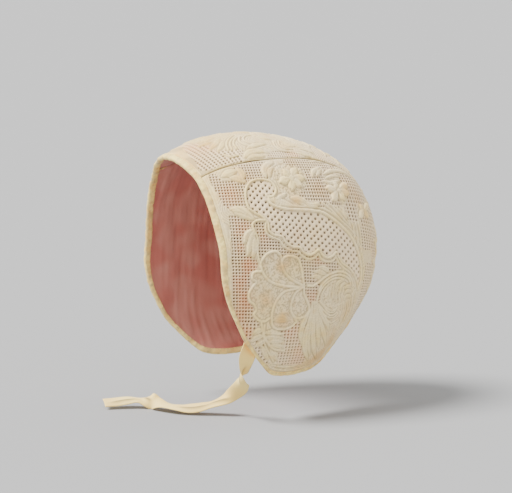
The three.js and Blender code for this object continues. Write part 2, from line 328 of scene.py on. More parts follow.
def tie():
    line, way, length = curve_through(TIE_ROUTE, TIE_STEPS)
    share = np.linspace(0, 1, TIE_STEPS)
    line = line + right * through(TIE_SHIFT, 1, share)[:, None]
    bearing = np.radians(through(TIE_TURN, 1, share))
    rise = np.radians(through(TIE_TURN, 2, share))
    across = np.stack([
        np.cos(bearing) * np.cos(rise), np.sin(bearing) * np.cos(rise), np.sin(rise)], -1)
    across = unit(across - (across * way).sum(-1, keepdims=True) * way)
    face = np.cross(way, across)
    width = through(TIE_FORM, 1, share) * TIE_WIDTH / 2
    cup = through(TIE_FORM, 2, share)
    s = np.linspace(-1, 1, TIE_ACROSS)
    both = np.concatenate([s, s[::-1]])
    ripple = 0.5 * (noise(share[:, None] * length, s * 5 + 40, 7, 5) - 0.5)
    lift = cup[:, None] * (s**2 - 0.4) + ripple
    stain = noise(share[:, None] * length, np.abs(both) * 3 + 0 * share[:, None], 14, 9)
    paint = mix(RIBBON_CREAM + np.zeros(stain.shape + (3,)), RIBBON_STAIN, 0.45 * stain)
    # Each crease is a groove with painted shade along it
    for place, half_length, side in TIE_CREASES:
        along = np.exp(-((share - place) / half_length)**4)[:, None]
        lift = lift - CREASE_DEPTH * along * np.exp(-((s - side) / CREASE_HALF)**2)
        dark = 0.80 * along * np.exp(-((both - side) / CREASE_LINE)**2)
        paint = mix(paint, FINE_HOLE_AND_CREASE_SHADE, dark)
    # Painted shade along both edges of the ribbon
    paint *= (1 - 0.10 * (np.abs(both) > 0.92))[None, :, None]
    middle = (line[:, None] + across[:, None] * (width[:, None] * s)[..., None]
              + face[:, None] * lift[..., None])
    half = face[:, None] * TIE_THICKNESS / 2
    ring = np.concatenate([middle + half, (middle - half)[:, ::-1]], 1)
    ring[..., 2] = np.maximum(ring[..., 2], TIE_LOWEST)
    around = ring.shape[1]
    index, quads = tube(TIE_STEPS, around)
    ends = []
    for row, turn in ((0, -1), (TIE_STEPS - 1, 1)):
        for k in range(TIE_ACROSS - 1):
            quad = [index[row, k], index[row, k + 1],
                    index[row, around - 2 - k], index[row, around - 1 - k]]
            ends.append(quad[::turn])
    piece = make_mesh("tie_ribbon_cloth", ring.reshape(-1, 3), np.vstack([quads, ends]),
                      paint.reshape(-1, 3), ribbon, "tie_ribbon")


tie()


# Ornament of the side panel in flat millimetres round the ear point: kind, width, middle line.
# Areas are outlines of the two nets and of the dotted ground.
SIDE_STROKES = [
    ("cord", 1.3, [(-35.7, 49.6), (-36.7, 54.5), (-35.8, 60.7), (-32.5, 65.3), (-27.7, 67.4), (-22.3, 67.2),
        (-18, 65.6), (-16, 62.4), (-16.5, 59.2), (-18.9, 56.7), (-22.1, 56.2), (-23.2, 57.9)]),
    ("cord", 1.8, [(-22.1, 56.2), (-21.8, 52.9), (-18.9, 50.5), (-11.8, 48.6), (-3.6, 47.7), (5.8, 46.8),
        (13.8, 45.1), (20, 41.3), (26.2, 36.3), (32.1, 31), (37.1, 24.2), (39.8, 17.3), (42.1, 9.7),
        (42.7, 2.2), (41.1, -3.3)]),
    ("cord", 1.1, [(-18.9, 56.7), (-18.6, 52.2), (-11.5, 50.3), (-3.1, 49.7), (7.1, 48.7), (15.2, 47.2),
        (22.2, 43.3), (28.8, 38), (35.3, 32.3), (40.4, 25.2), (43.5, 17.6), (45.7, 9.4), (46.2, 1.7)]),
    ("cord", 1.3, [(-35.7, 49.6), (-32, 46.7), (-27.9, 44.4), (-25.2, 40.7), (-25.2, 36.6), (-22.3, 33.8),
        (-17.2, 32.4), (-14.9, 29), (-11.2, 26.5), (-5.8, 25.5), (-3.7, 22.6), (0, 20.9), (3.6, 21.8),
        (7.1, 23.6), (8.9, 20.5), (12.1, 18.5), (15.9, 18.8), (19.7, 21.1), (21.3, 17.7), (24.3, 13.9),
        (29.5, 11), (34.5, 6.9), (38.4, 2.1), (41.1, -3.3)]),
    ("cord", 1, [(-26.3, 42), (-27.1, 36.7), (-24.9, 33), (-19.4, 30.7), (-16.5, 26.8), (-12.1, 24.2),
        (-7.4, 23.4), (-4.9, 20.6), (-0.2, 18.5), (4.1, 19.4), (6.4, 21), (8.3, 17.9), (12.2, 16.1),
        (16.4, 16.3), (18.9, 17.9), (21.1, 14.7), (25, 11.4), (30.5, 7.9)]),
    ("cord", 1.5, [(-5.7, 2.8), (-16.3, 3.8), (-25.9, 7), (-30.6, 12.4), (-31.8, 17.7), (-29.8, 21.1),
        (-26.4, 23.5), (-21.9, 24.1), (-19, 21.4), (-18.4, 18.1), (-17.7, 13.4), (-13.6, 8.2), (-5, 3.3)]),
    ("cord", 1.5, [(-18.4, 18.1), (-16.7, 20.4), (-12.4, 21), (-7.8, 19), (-6, 13.9), (-5.3, 8.6),
        (-4.5, 3.6)]),
    ("cord", 1.5, [(-5.2, 2.5), (-10.6, 1.9), (-17.5, 0.7), (-21.9, -3.4), (-24.5, -8.7), (-25.4, -14.1),
        (-24.4, -18.4), (-21.2, -20.8), (-16.5, -21.2), (-12, -20.2), (-9.1, -17.6), (-10.1, -15.4)]),
    ("cord", 1.5, [(-6, 2.2), (-9.9, -0.2), (-12.5, -4.8), (-13.1, -10.2), (-10.1, -14.7), (-6.1, -15.4),
        (-2.2, -14), (-0.8, -9.9), (-2.4, -5.6), (-4.4, -1.3), (-4.6, 2.4)]),
    ("cord", 1.4, [(-31.9, 13.2), (-36.3, 12.8), (-37.4, 9.5), (-35, 7.4), (-37.2, 4.8), (-39.4, 1),
        (-39, -3.1), (-36.5, -5.2), (-35, -8.7), (-36.4, -11.3), (-33.4, -14.6), (-29.7, -15.5),
        (-26.9, -14)]),
    ("cord", 1.2, [(-26.3, 42.4), (-30.1, 42.7), (-33.3, 42), (-35, 40), (-34.3, 37)]),
    ("cord", 1.1, [(-34.3, 37), (-32.6, 31.6), (-33.3, 25.9), (-33.1, 21.2), (-31.8, 17.7)]),
    ("cord", 1.4, [(-29.6, -18), (-29.6, -23.7), (-26.3, -29.1), (-21.8, -33.4), (-14.3, -35.5)]),
    ("cord", 1, [(-24.8, -22.8), (-20.9, -23.7), (-16.5, -24.3)]),
    ("leaf", 4, [(-22.8, 54.4), (-16.2, 53.6), (-10.6, 51.2), (-5.6, 49.6)]),
    ("striped", 5, [(-6.4, 55), (-0.7, 53.1), (6.4, 49.2)]),
    ("leaf", 2.6, [(-17.4, 54.6), (-12.8, 56.5), (-9.3, 57.7)]),
    ("petal", 5, [(53.9, 44.9), (51.8, 46.3), (50.2, 48.3)]),
    ("petal", 5, [(53.9, 44.9), (58.6, 46.6), (64.5, 48.9)]),
    ("petal", 5, [(53.9, 44.9), (55.8, 42.9), (56.7, 40.2)]),
    ("petal", 5, [(53.9, 44.9), (49.9, 43), (46.2, 40.5)]),
    ("striped", 6.6, [(-46.1, 50), (-40, 47.6), (-33.5, 43.2)]),
    ("leaf", 3.6, [(-34.6, 37), (-38.4, 34.8), (-41.1, 29.7)]),
    ("leaf", 4.4, [(-34.3, 36.4), (-36.9, 30.7), (-39.4, 23)]),
    ("leaf", 3.6, [(-34.3, 32.9), (-35, 27.1), (-36.4, 21.1)]),
    ("striped", 4.6, [(-48.5, 70.6), (-43.2, 72.7), (-38, 73.8)]),
    ("leaf", 4.4, [(-43.4, 69.3), (-38.4, 68.3), (-34.2, 65.8)]),
    ("leaf", 3.8, [(-37.9, 75.6), (-35.3, 71.6), (-36.4, 67.2)]),
    ("striped", 5, [(-23.9, -15.3), (-19.4, -14.7), (-14.3, -16.3)]),
    ("cord", 1.4, [(-1.9, 3.3), (1.5, 2.9), (5, 4.5), (9.3, 7), (13.8, 8.7), (19.3, 9.6), (24.2, 8.9),
        (28.6, 7), (32.2, 3.6), (34.3, -0.3)]),
    ("cord", 1.3, [(5.7, -0.2), (7.8, 3.1), (11.5, 5.7), (16, 7.4), (20.8, 7.6), (25.9, 6.4), (30.2, 3.8),
        (32.2, 0)]),
    ("cord", 1.2, [(4.8, -5.5), (5.7, -2), (8.1, 1.3), (11.4, 3.9), (16, 5.7), (20.8, 5.8), (25.1, 4.4)]),
    ("rib", 1.1, [(7.9, -6.3), (7.9, -2.8), (10, 0.6), (12.9, 2.6)]),
    ("leaf", 2.4, [(18.9, -1.5), (18.9, 1.5), (21.3, 3.6), (25.1, 3.8)]),
    ("leaf", 2.2, [(23.2, -3.2), (22.8, -0.1), (24.8, 1.7), (28, 1.7)]),
    ("leaf", 2.4, [(26.5, -1.2), (28.7, -0.1), (32.8, -1)]),
    ("leaf", 2.4, [(26.6, -4.2), (29.2, -3), (34.2, -4.3)]),
    ("leaf", 2.2, [(27.4, -7.4), (29.9, -5.9), (34.9, -7.9)]),
    ("rib", 1.1, [(20.6, -9.6), (19, -5.1), (18.9, -1.5)]),
    ("rib", 1.1, [(23.5, -8.8), (21.7, -4.8), (22.3, -1.3)]),
    ("rib", 0.9, [(13.3, -6.9), (13.9, -1), (15.3, 2.4)]),
    ("rib", 0.9, [(15.9, -7.8), (16.3, -1.8), (16.8, 2.3)]),
    ("cord", 1.1, [(6.8, -6.8), (10.2, -10.2), (14.1, -13.8), (18.6, -14.8), (21.3, -12.9)]),
    ("cord", 1, [(6.2, -8.6), (9, -13.2), (13.9, -16.9), (19.7, -18.5), (23.4, -16.5)]),
    ("rib", 1, [(12.4, -18), (18.8, -21.7), (25.3, -20.2)]),
    ("rib", 1, [(27.2, -9.9), (28.6, -15.4), (28.4, -22.2), (26.6, -27.5)]),
    ("rib", 1, [(30.5, -9.1), (32.9, -14.8), (32.6, -21), (30.4, -27.8)]),
    ("rib", 1, [(34.6, -8.5), (36.9, -14.2), (36.3, -19.7), (34.4, -25.9)]),
    ("rib", 1, [(37.9, -5.1), (40, -10.7), (40.7, -17.8)]),
    ("leaf", 2.8, [(13.5, 9.9), (10.3, 12.2), (6.1, 13.4)]),
    ("leaf", 2.6, [(10.8, 8.6), (6.6, 10.6), (2.4, 11.1)]),
    ("leaf", 2.4, [(7.2, 6.6), (4, 8.2), (0.9, 8)]),
    ("leaf", 3.4, [(1.7, -7), (0.9, -14.1), (0.8, -23.5), (2.3, -33.6), (6.8, -42.3)]),
    ("leaf", 3.4, [(3.1, -7.1), (3.3, -16.2), (4.5, -27.2), (8.6, -38.2), (14.8, -47.6)]),
    ("leaf", 3.2, [(4.6, -7.2), (6, -16.5), (8.7, -27.8), (13.2, -38.5)]),
    ("leaf", 3.4, [(0.5, -9.9), (-3, -16.8), (-4.6, -25.4), (-2.1, -33.6)]),
    ("leaf", 3.4, [(0, -18.3), (-1.4, -27.1), (1, -36.9), (6.7, -46.2)]),
    ("leaf", 3.4, [(5.4, -7.9), (9.3, -15), (15, -21.6), (18.7, -27.1)]),
    ("leaf", 3.2, [(7, -15.4), (11, -23.5), (16.5, -32.1), (19.2, -38)]),
    ("rib", 1.2, [(6.2, -8.6), (11.5, -13.5), (17.4, -16.8), (22.6, -15.7)]),
    ("rib", 1.1, [(6.8, -6.8), (11.9, -11), (17.5, -13.6), (21.6, -12.3)]),
    ("rib", 1.1, [(30.6, 36), (25.2, 41.6), (20.2, 47.1), (15.1, 51.4)]),
    ("rib", 1.1, [(32.3, 37.2), (27.3, 43), (23.1, 48.2), (19.2, 51.5)]),
    ("rib", 1.1, [(33.6, 38.3), (29.5, 44.4), (25.4, 48.7)]),
    ("rib", 1.1, [(34.9, 39.5), (32, 44.9), (29.1, 48.2)]),
    ("leaf", 2.6, [(32.2, 39.9), (31.2, 44), (31.3, 47.4)]),
    ("rib", 1.2, [(35.7, 25.4), (36.9, 30.8), (36.7, 35.7), (35.3, 39.1)]),
    ("rib", 1.2, [(39, 20.9), (39.8, 28.1), (40.2, 33.6), (39.8, 38.3)]),
    ("rib", 1.2, [(41.9, 17.1), (43, 25.5), (43.3, 32.2), (43.3, 38.1)]),
    ("leaf", 3, [(13.3, 50.6), (7, 50), (1.6, 51.8)]),
    ("petal", 6, [(-3.6, 67.9), (-4.6, 70.3), (-6.5, 73.1)]),
    ("petal", 5.6, [(-2.8, 68.2), (-0.4, 70.6), (2.9, 73.6)]),
    ("petal", 5.2, [(-2.3, 67.5), (1.5, 67.6), (6.5, 67.4)]),
    ("petal", 5.4, [(-2.9, 66.9), (-0.3, 64.6), (2.9, 62.1)]),
    ("petal", 5.8, [(-3.5, 66.6), (-4, 63.6), (-4.6, 60.1)]),
    ("petal", 5.8, [(-4, 67.3), (-7.5, 66.4), (-11.8, 65.2)]),
    ("leaf", 4.4, [(-20.4, 68.8), (-19.9, 73.8), (-16.1, 77.6), (-11.7, 78.6)]),
    ("leaf", 3.2, [(-18.1, 68.7), (-16.8, 72.7), (-13.7, 75.4)]),
    ("petal", 5.4, [(31.2, 58.1), (27.6, 59.2), (22.2, 60.1)]),
    ("petal", 5.2, [(31.7, 58.6), (31.6, 60.7), (30, 63.1)]),
    ("petal", 5, [(32.4, 58.6), (36.2, 60.2), (43, 62.1)]),
    ("petal", 5, [(32.3, 58), (36, 57.2), (41.3, 56.2)]),
    ("petal", 5.2, [(31.8, 57.4), (33.3, 55.1), (34.5, 52.1)]),
    ("petal", 5.6, [(30.9, 57.5), (28, 55.3), (24.5, 52.5)]),
    ("leaf", 3.2, [(14, 68.1), (16.6, 71.7), (23.5, 74.3)]),
    ("leaf", 2.6, [(17.5, 68.4), (20.3, 70.8), (24.1, 73)]),
    ("leaf", 2.8, [(23.8, 69.5), (34.6, 72.4), (45.7, 71.7), (52.9, 68.3)]),
    ("leaf", 2.2, [(24.6, 66.8), (32.8, 68.4), (39.9, 67.9)]),
    ("leaf", 3, [(21.8, 64.8), (27.9, 63.4), (38, 65.3)]),
    ("cord", 1.2, [(-31.9, -15.6), (-30.8, -20.4), (-29.3, -25.4), (-25.4, -30.5), (-20.9, -34),
        (-15.9, -35.2)]),
    ("leaf", 3.4, [(-28.9, -22.4), (-23.8, -22.8), (-17.6, -24.9)]),
    ("leaf", 3.2, [(-28.4, -25.2), (-22.7, -26.1), (-15.9, -27.7)]),
    ("leaf", 3, [(-26.7, -27.8), (-21.1, -28.7), (-15.2, -30)]),
    ("leaf", 2.8, [(-24.4, -30.6), (-20, -31.6), (-15.1, -32.6)]),
    ("leaf", 3.6, [(-30.9, -21), (-33.7, -21.1), (-36.4, -23)]),
    ("leaf", 3.6, [(-30, -24.4), (-34, -25), (-37.5, -27.6)]),
    ("leaf", 3.2, [(-28.7, -27.3), (-31.1, -29), (-34.4, -30.6)]),
    ("cord", 1, [(-29.4, -27.3), (-26.7, -32.7), (-23.1, -38.1), (-20.2, -42.3)]),
    ("leaf", 2.8, [(-29.9, -30.7), (-27.2, -35.6), (-23.8, -41.1)]),
    ("leaf", 2.8, [(-23.9, -34), (-21.1, -38), (-17.5, -42)]),
    ("leaf", 2.4, [(-20.5, -36), (-18.2, -39.1)]),
    ("rib", 1.1, [(-21.3, -44.7), (-15.2, -46.8), (-8.1, -48.3), (-1.2, -48.6)]),
    ("rib", 1.1, [(-19.9, -47.6), (-13.6, -49.7), (-6.3, -51.2), (1.6, -51.5), (8.7, -50.4)]),
    ("petal", 4.6, [(-4.9, 67.6), (-3.4, 67.6), (-1.5, 67.7)]),
    ("petal", 3.4, [(30.2, 58), (31.6, 58), (33.5, 58.1)]),
]
SIDE_AREAS = {
    "fine": [
        [(-38.3, 76.9), (-18, 78.2), (-21.6, 67.2), (-30.9, 67.6), (-35.7, 63.9), (-36.9, 69.9)],
        [(-54.5, 73.5), (-49.6, 66.9), (-39.8, 65.4), (-34.3, 60.9), (-35.5, 49.8), (-40.1, 50),
         (-48.5, 52.2), (-51.2, 58), (-54.5, 67.3)],
        [(-47.2, 44.7), (-35.7, 43), (-35.3, 36.5), (-41.9, 30.9), (-41.4, 21.6), (-35.4, 19), (-36, 13.9),
         (-39.5, 10.6), (-40.6, -2.1), (-48.2, -1.7), (-47.2, 25.4)],
        [(-46.4, 20.6), (-36.6, 20.1), (-35.4, 16.1), (-39.1, 12.3), (-39.3, 3.6), (-39.7, -3),
         (-39.3, -5.8), (-37.2, -8.6), (-36.4, -12.7), (-32.6, -16.4), (-37.4, -21), (-38.4, -27.4),
         (-43.2, -19.9), (-47, -11.5), (-48.8, -5.9), (-48.2, 0.7), (-47.4, 7.4)],
        [(-32.5, 41), (-26.7, 39.6), (-25.7, 31.9), (-18.8, 29.8), (-15.3, 25), (-18.2, 21.6),
         (-23.1, 25.4), (-26.9, 25), (-30.3, 21.7), (-32.6, 24.7), (-33.4, 30.5)],
        [(-17.9, 25.7), (-6, 23.9), (-3.6, 19.6), (-7.7, 19.9), (-15.6, 21.5)],
        [(-5.7, 20.3), (4.9, 19.6), (18.8, 16.7), (18.4, 10.8), (2.9, 12.2), (4, 4.1), (-4.3, 3.8),
         (-4.8, 11.5)],
        [(8, 71.1), (16.8, 72), (22.7, 68), (20.8, 62.4), (26, 56.2), (21.4, 51.2), (10.3, 49.3),
         (5.9, 52.7), (1, 56.7), (5.7, 61.6)],
        [(-0.5, 80.2), (11.8, 80.1), (23.9, 76.2), (9.1, 71.8), (4.4, 75.6)],
        [(-2.5, 2.3), (6.8, 1.6), (8, -5.1), (3.3, -11), (-1.5, -7.7)],
        [(-33.3, -27), (-28.3, -31.2), (-24.2, -41.1), (-28.3, -39.8)],
        [(-34.6, 77.3), (-28.3, 78.4), (-19.7, 79.2), (-18, 78), (-21.3, 72.5), (-22.1, 67.8),
         (-27.5, 67.4), (-31.3, 67.9), (-32.2, 71.9), (-36.1, 74.2)],
        [(43.3, 69.2), (54.1, 67.2), (65.5, 61.5), (58.4, 49.9), (48.7, 50.5), (43.8, 46), (42.6, 39.4),
         (33.8, 39.2), (34, 46.4), (38.6, 51.3), (43.7, 57.2), (44.7, 62.9), (38.8, 65)],
        [(48.1, 38.2), (67.9, 37.9), (68.8, 28.5), (66.5, 21.4), (44.9, 22.9)],
        [(7.9, 67.9), (22, 67.9), (20.1, 63.1), (22.2, 61.1), (19.1, 57.9), (22.4, 55.5), (22.1, 52.6),
         (11.1, 51), (7, 52.7), (5, 56), (1.7, 57.4), (4.7, 61.7)],
        [(22, 52.3), (28.8, 52), (30.6, 49.7), (25, 48.7)],
        [(28.3, 77.7), (38.2, 76.6), (39.9, 73.4), (28.4, 72.3)],
        [(8.8, 78.4), (24.3, 77.6), (22.4, 74.9), (14.8, 72.3), (11.5, 68.8), (6.7, 69), (8.2, 73.9)],
        [(-2.7, 79.2), (9, 78.7), (6.1, 74.7), (-1.6, 74.8)],
        [(-35.2, -31.5), (-31.1, -31.3), (-27.3, -38.6), (-29.9, -38.7)],
        [(-19.3, -35.1), (-13.9, -35.1), (-14.6, -27.5), (-17.6, -20), (-9.6, -19.8), (-2.6, -19.9),
         (-4.4, -30), (-1.7, -37.9), (2.6, -46.1), (-5, -46.7), (-15.4, -43.4)],
    ],
    "coarse": [
        [(-32.7, 64.4), (-28.6, 66.5), (-22.6, 66.2), (-18.3, 64.4), (-16.6, 60.5), (-19.4, 57.5),
         (-23.9, 58.3), (-23.8, 52.7), (-19.8, 49.5), (-12.1, 47.3), (-3.9, 46.3), (5.5, 45.6),
         (12.7, 43.9), (19.6, 39.8), (26.6, 34.4), (33.3, 27.6), (37.1, 21.2), (40.2, 13.6), (41.9, 6),
         (41.7, -1.5), (34.4, 7.5), (28.6, 12), (23.6, 15.1), (20.5, 21.3), (15.3, 20), (12.2, 19.7),
         (9.5, 22.2), (7.6, 24.8), (3, 22.7), (-0.6, 22.1), (-3.3, 23.7), (-5.8, 26.2), (-11.1, 27.4),
         (-14.8, 30.2), (-17.1, 33.3), (-22.2, 34.7), (-24.7, 37.7), (-24.4, 41.9), (-27.2, 44.7),
         (-30.7, 46.9), (-34.7, 49.5), (-36.1, 54.4)],
    ],
    "stipple": [
        [(-5.7, 2.8), (-16.3, 3.8), (-25.9, 7), (-30.6, 12.4), (-31.8, 17.7), (-29.8, 21.1), (-26.4, 23.5),
         (-21.9, 24.1), (-19, 21.4), (-16.7, 20.4), (-12.4, 21), (-7.8, 19), (-6, 13.9), (-5.3, 8.6),
         (-4.5, 3.6)],
        [(-5.2, 2.5), (-10.6, 1.9), (-17.5, 0.7), (-21.9, -3.4), (-24.5, -8.7), (-25.4, -14.1),
         (-24.4, -18.4), (-21.2, -20.8), (-16.5, -21.2), (-12, -20.2), (-6.1, -15.4), (-2.2, -14),
         (-0.8, -9.9), (-2.4, -5.6), (-4.6, 2.4)],
        [(-31.9, 13.2), (-36.3, 12.8), (-37.4, 9.5), (-36.4, 7.5), (-37.2, 4.8), (-39.4, 1), (-39, -3.1),
         (-36.5, -5.2), (-35.7, -8.7), (-36.4, -11.3), (-33.4, -14.6), (-29.7, -15.5), (-25.4, -14.1),
         (-21.9, -3.4), (-16, 0.9), (-23.4, 3.7), (-29.9, 9.1)],
        [(10.8, -6.1), (11.2, -0.5), (14.7, 3.3), (19.3, 2.8), (22.1, -4.5), (21.6, -11.7), (15.9, -13.9),
         (11.3, -10.4)],
        [(-12.2, 76.4), (-4.8, 78.1), (4.7, 75), (9.2, 71), (7.9, 64.2), (3.8, 59.2), (-2.1, 56.9),
         (-9.9, 57.2), (-13.7, 61.1), (-14.4, 66.9)],
        [(8.9, 2.4), (14.5, 5.1), (18.4, 4.5), (17.9, -1.4), (19.2, -9.4), (15.5, -12.7), (9.9, -7.7),
         (7.8, -2.8)],
    ],
}
# Brown stains: place, radius, strength
SIDE_STAINS = [
    (-19.6, 14.7, 3.5, 0.9), (-41, 17, 4, 0.5), (-3.7, 53.1, 4.5, 0.9), (16.3, 61.9, 5, 0.8),
    (-5.3, 32.4, 3.5, 0.6), (50.6, 55.9, 5, 0.7), (-15.2, 17.4, 4, 0.6), (-12.9, 23.1, 3.5, 0.7),
    (-19.3, -15.4, 4, 0.9), (-28.9, -3.3, 4.5, 0.9), (-44.9, -10.9, 6, 0.9), (-41, -21.5, 5, 0.7),
    (-42.9, 0.5, 5, 0.6), (18.1, -46.7, 5, 0.5), (5.3, -47.8, 5, 0.4), (-37.3, 70.3, 5.5, 0.7),
    (39.5, 57.9, 5, 0.8), (54.2, 41.6, 5, 0.6), (32.4, -15, 6, 0.5), (1.1, 78.6, 5, 0.6),
    (-18.4, 73.2, 4, 0.6), (-44.9, 59.2, 4, 0.6), (45, 62, 6, 0.5), (18, 58, 5, 0.5), (52, 52, 5, 0.6),
    (60, 20, 7, 0.5), (-31, 70, 5, 0.5), (25, -36, 7, 0.4), (11.8, -47.5, 4.5, 1), (19.7, -42.8, 4.5, 0.9),
    (25, -35.3, 4.5, 0.8), (15.6, -45.4, 4, 0.8), (-0.5, -50.3, 4, 0.7), (-17.9, -16, 3, 0.6),
]
# Where the lining's colour shows through: place, radius, strength
SIDE_BLUSH = [
    (-41, 38, 6, 0.6), (-42, 28, 4, 0.5), (-39, 17, 5, 1.0), (-44, 8, 5, 0.7), (-41, -3, 6, 1.0),
    (-45, -12, 5, 0.6), (-40, -22, 5, 0.7), (-46, 59, 8, 0.5), (-2, -40, 8, 0.5), (2, -4, 5, 0.5),
    (7, 18, 5, 0.4), (-28, 33, 5, 0.4), (-13, -22, 8, 0.5),
]
# The crown strip's ornament, one half: place along the midline from above the ear, and across it
STRIP_BLUSH = [(52, 6, 6, 0.4), (46, 14, 5, 0.3), (-8, 26, 6, 0.5)]
STRIP_STROKES = [
    ("cord", 1.2, [(37.4, 22), (34.9, 16.8), (29.7, 11.5), (24.1, 7.4)]),
    ("cord", 1.1, [(34.9, 22.4), (33, 17.6), (28.9, 13.3), (23.7, 9.5)]),
    ("cord", 1.1, [(31.7, 22.5), (30.6, 17.9), (27.3, 13.9), (22.3, 10)]),
    ("cord", 1.3, [(20.6, 22.8), (24.7, 20.3), (25.3, 15.8), (21.4, 10.2)]),
    ("cord", 1.1, [(18.8, 19.9), (21.8, 17.9), (21.6, 14.4), (17.8, 10.5), (13.7, 9.4)]),
    ("leaf", 3.4, [(25.3, 24.3), (17, 21.6), (8.3, 20.3)]),
    ("leaf", 3, [(10.3, 11.9), (6.2, 13.2), (1.8, 14.1)]),
    ("cord", 1.2, [(2.1, 17.1), (3.4, 22.7), (1, 25.8), (-4.8, 26.4)]),
    ("cord", 1.1, [(-2.7, 15.1), (-1, 20.6), (-3.2, 23.5), (-8.6, 23.4)]),
    ("leaf", 3, [(-5.2, 17.1), (-7.6, 19.4), (-12.6, 19.8)]),
    ("leaf", 3.4, [(34.5, 8.6), (40.6, 13.7), (46.9, 16.9)]),
    ("leaf", 3, [(34.5, 12.9), (39, 17.3), (43.7, 20.6)]),
    ("leaf", 3, [(46.2, 5.4), (41.3, 5.4), (35.7, 5.2)]),
    ("leaf", 2.8, [(49.4, 9.2), (44.7, 9.5), (40.1, 10)]),
    ("leaf", 4.2, [(32.3, 31), (25.6, 27.5), (18.1, 26.8), (11.8, 28.8)]),
    ("leaf", 3, [(30, 32), (23.7, 30.7), (16.6, 31.5)]),
    ("cord", 1, [(42.3, 24.5), (39.8, 27.9), (34.8, 28.2)]),
    ("leaf", 2.8, [(-14.9, 21.3), (-20.4, 21), (-25.1, 22.7)]),
    ("leaf", 2.8, [(-11.1, 26.2), (-16.3, 26.8), (-21.4, 27.9)]),
    ("leaf", 3.4, [(9, 0.4), (14, 2.4), (18.5, 3)]),
    ("leaf", 3.4, [(8, 1), (9.5, 4.4), (9, 8)]),
    ("leaf", 3.4, [(7, 0.4), (2, 2.2), (-3, 3)]),
    ("cord", 1.2, [(-6, 2), (-11, 7), (-12, 13)]),
    ("leaf", 3, [(-12, 3), (-17, 6), (-19, 11)]),
]
STRIP_AREAS = {
    "fine": [
        [(51.1, -4.4), (57.4, 12.2), (58.4, 19.6), (61.5, 27.1), (54.4, 27.9), (46.3, 27.5)],
        [(51.3, 8.9), (46.1, 13.4), (45.6, 18.4), (49.7, 22.6), (53.9, 19.7), (56.1, 15.2)],
        [(55.2, 21.1), (49.5, 23.3), (48, 28.6), (57.9, 29.1), (58.8, 26)],
        [(44.7, 20.1), (39.4, 22.7), (31.6, 24), (30, 26.8), (35.1, 31.6), (45.2, 31.6), (46.8, 27.2)],
        [(10.4, 29.1), (0.6, 27.9), (-9.3, 28.3), (-9.1, 30.4), (11.9, 32.8)],
    ],
    "coarse": [],
    "stipple": [],
}
STRIP_STAINS = [
    (55, 2, 8, 0.8), (63.5, 6.6, 4, 0.9), (53.1, 6.3, 5, 0.9), (53.4, 13.6, 4, 0.7), (62.8, 15.1, 4, 0.7),
    (64.2, 22.6, 4, 0.6), (46, 14.2, 5, 0.8), (54, 14, 7, 0.7), (44, 10, 6, 0.7), (60, 22, 6, 0.6),
    (36, 2, 6, 0.5), (18, 3, 6, 0.4), (2, 8, 5, 0.5), (-4, 20, 6, 0.4), (-60, -8, 8, 0.4),
    (-110, 6, 9, 0.4),
]


def spray(points, leaves, reach, width):
    """Strokes of a leafy stem for the parts that the photo doesn't show."""
    steps = 60
    line, way, _ = curve_through(points, steps)
    strokes = [("cord", 1.2, points)]
    for k in range(leaves):
        at = int((k + 0.7) / leaves * (steps - 1))
        along = way[at]
        across = np.array([-along[1], along[0]]) * (1 if k % 2 else -1)
        tip = line[at] + reach * (0.55 * along + 0.8 * across)
        middle = line[at] + reach * (0.42 * along + 0.3 * across)
        strokes.append(("leaf", width, [tuple(line[at]), tuple(middle), tuple(tip)]))
    return strokes


SIDE_STROKES += spray([(55, -40), (60, -22), (66, -4), (66, 14), (72, 30)], 14, 9, 3.4)
SIDE_STROKES += spray([(88, -30), (82, -12), (80, 6), (86, 24)], 10, 9, 3.2)
SIDE_AREAS["fine"].append([
    (47, -28), (48, 8), (58, 12), (60, 36), (72, 52), (86, 44), (94, 10), (92, -30), (70, -48)])
STRIP_STROKES += spray([(-22, 6), (-44, 13), (-66, 5), (-88, 12), (-110, 5), (-132, 10), (-152, 6)],
                       26, 8, 3.2)
STRIP_AREAS["fine"].append([(-26, -1), (-26, 26), (-90, 30), (-150, 24), (-158, -1)])

GAUSS_X, GAUSS_W = np.polynomial.legendre.leggauss(8)
USUAL_SLOPE = 1.3                 # millimetres to a degree of lean, as a first guess
NEWTON_STEPS = 8
MOST_LEAN = 125


def meridian(angle, lean):
    """Way over the surface from the ear point to a lean, along the line of one angle."""
    a = np.radians(angle)
    rise = reach_at(angle) * np.hypot(CAP_DEPTH * np.cos(a), CAP_HEIGHT * np.sin(a))
    half = np.radians(lean) / 2
    t = half[..., None] * (1 + GAUSS_X)
    speed = np.sqrt((rise[..., None] * np.cos(t))**2 + (CAP_WIDTH / 2 * np.sin(t))**2)
    return half * (speed @ GAUSS_W)


def lean_at(angle, way):
    """Lean in degrees that lies a way over the surface from the ear point."""
    lean = way / USUAL_SLOPE
    step = 0.05
    for _ in range(NEWTON_STEPS):
        slope = (meridian(angle, lean + step) - meridian(angle, lean - step)) / (2 * step)
        lean = np.clip(lean - (meridian(angle, lean) - way) / slope, 0, MOST_LEAN)
    return lean


def inside(polygon, x, y):
    """Whether places lie in a polygon."""
    hit = np.zeros(x.shape, bool)
    for (xa, ya), (xb, yb) in zip(polygon, list(polygon[1:]) + [polygon[0]]):
        if ya != yb:
            crosses = ((ya > y) != (yb > y)) & (x < (xb - xa) * (y - ya) / (yb - ya) + xa)
            hit ^= crosses
    return hit


def off_line(line, points):
    """Distance from points to a line of points, and the nearest one's number."""
    best = np.full(len(points), np.inf, np.float32)
    nearest = np.zeros(len(points), int)
    points = points.astype(np.float32)
    for k, p in enumerate(line.astype(np.float32)):
        d = ((points - p)**2).sum(-1)
        closer = d < best
        best[closer] = d[closer]
        nearest[closer] = k
    return np.sqrt(best), nearest


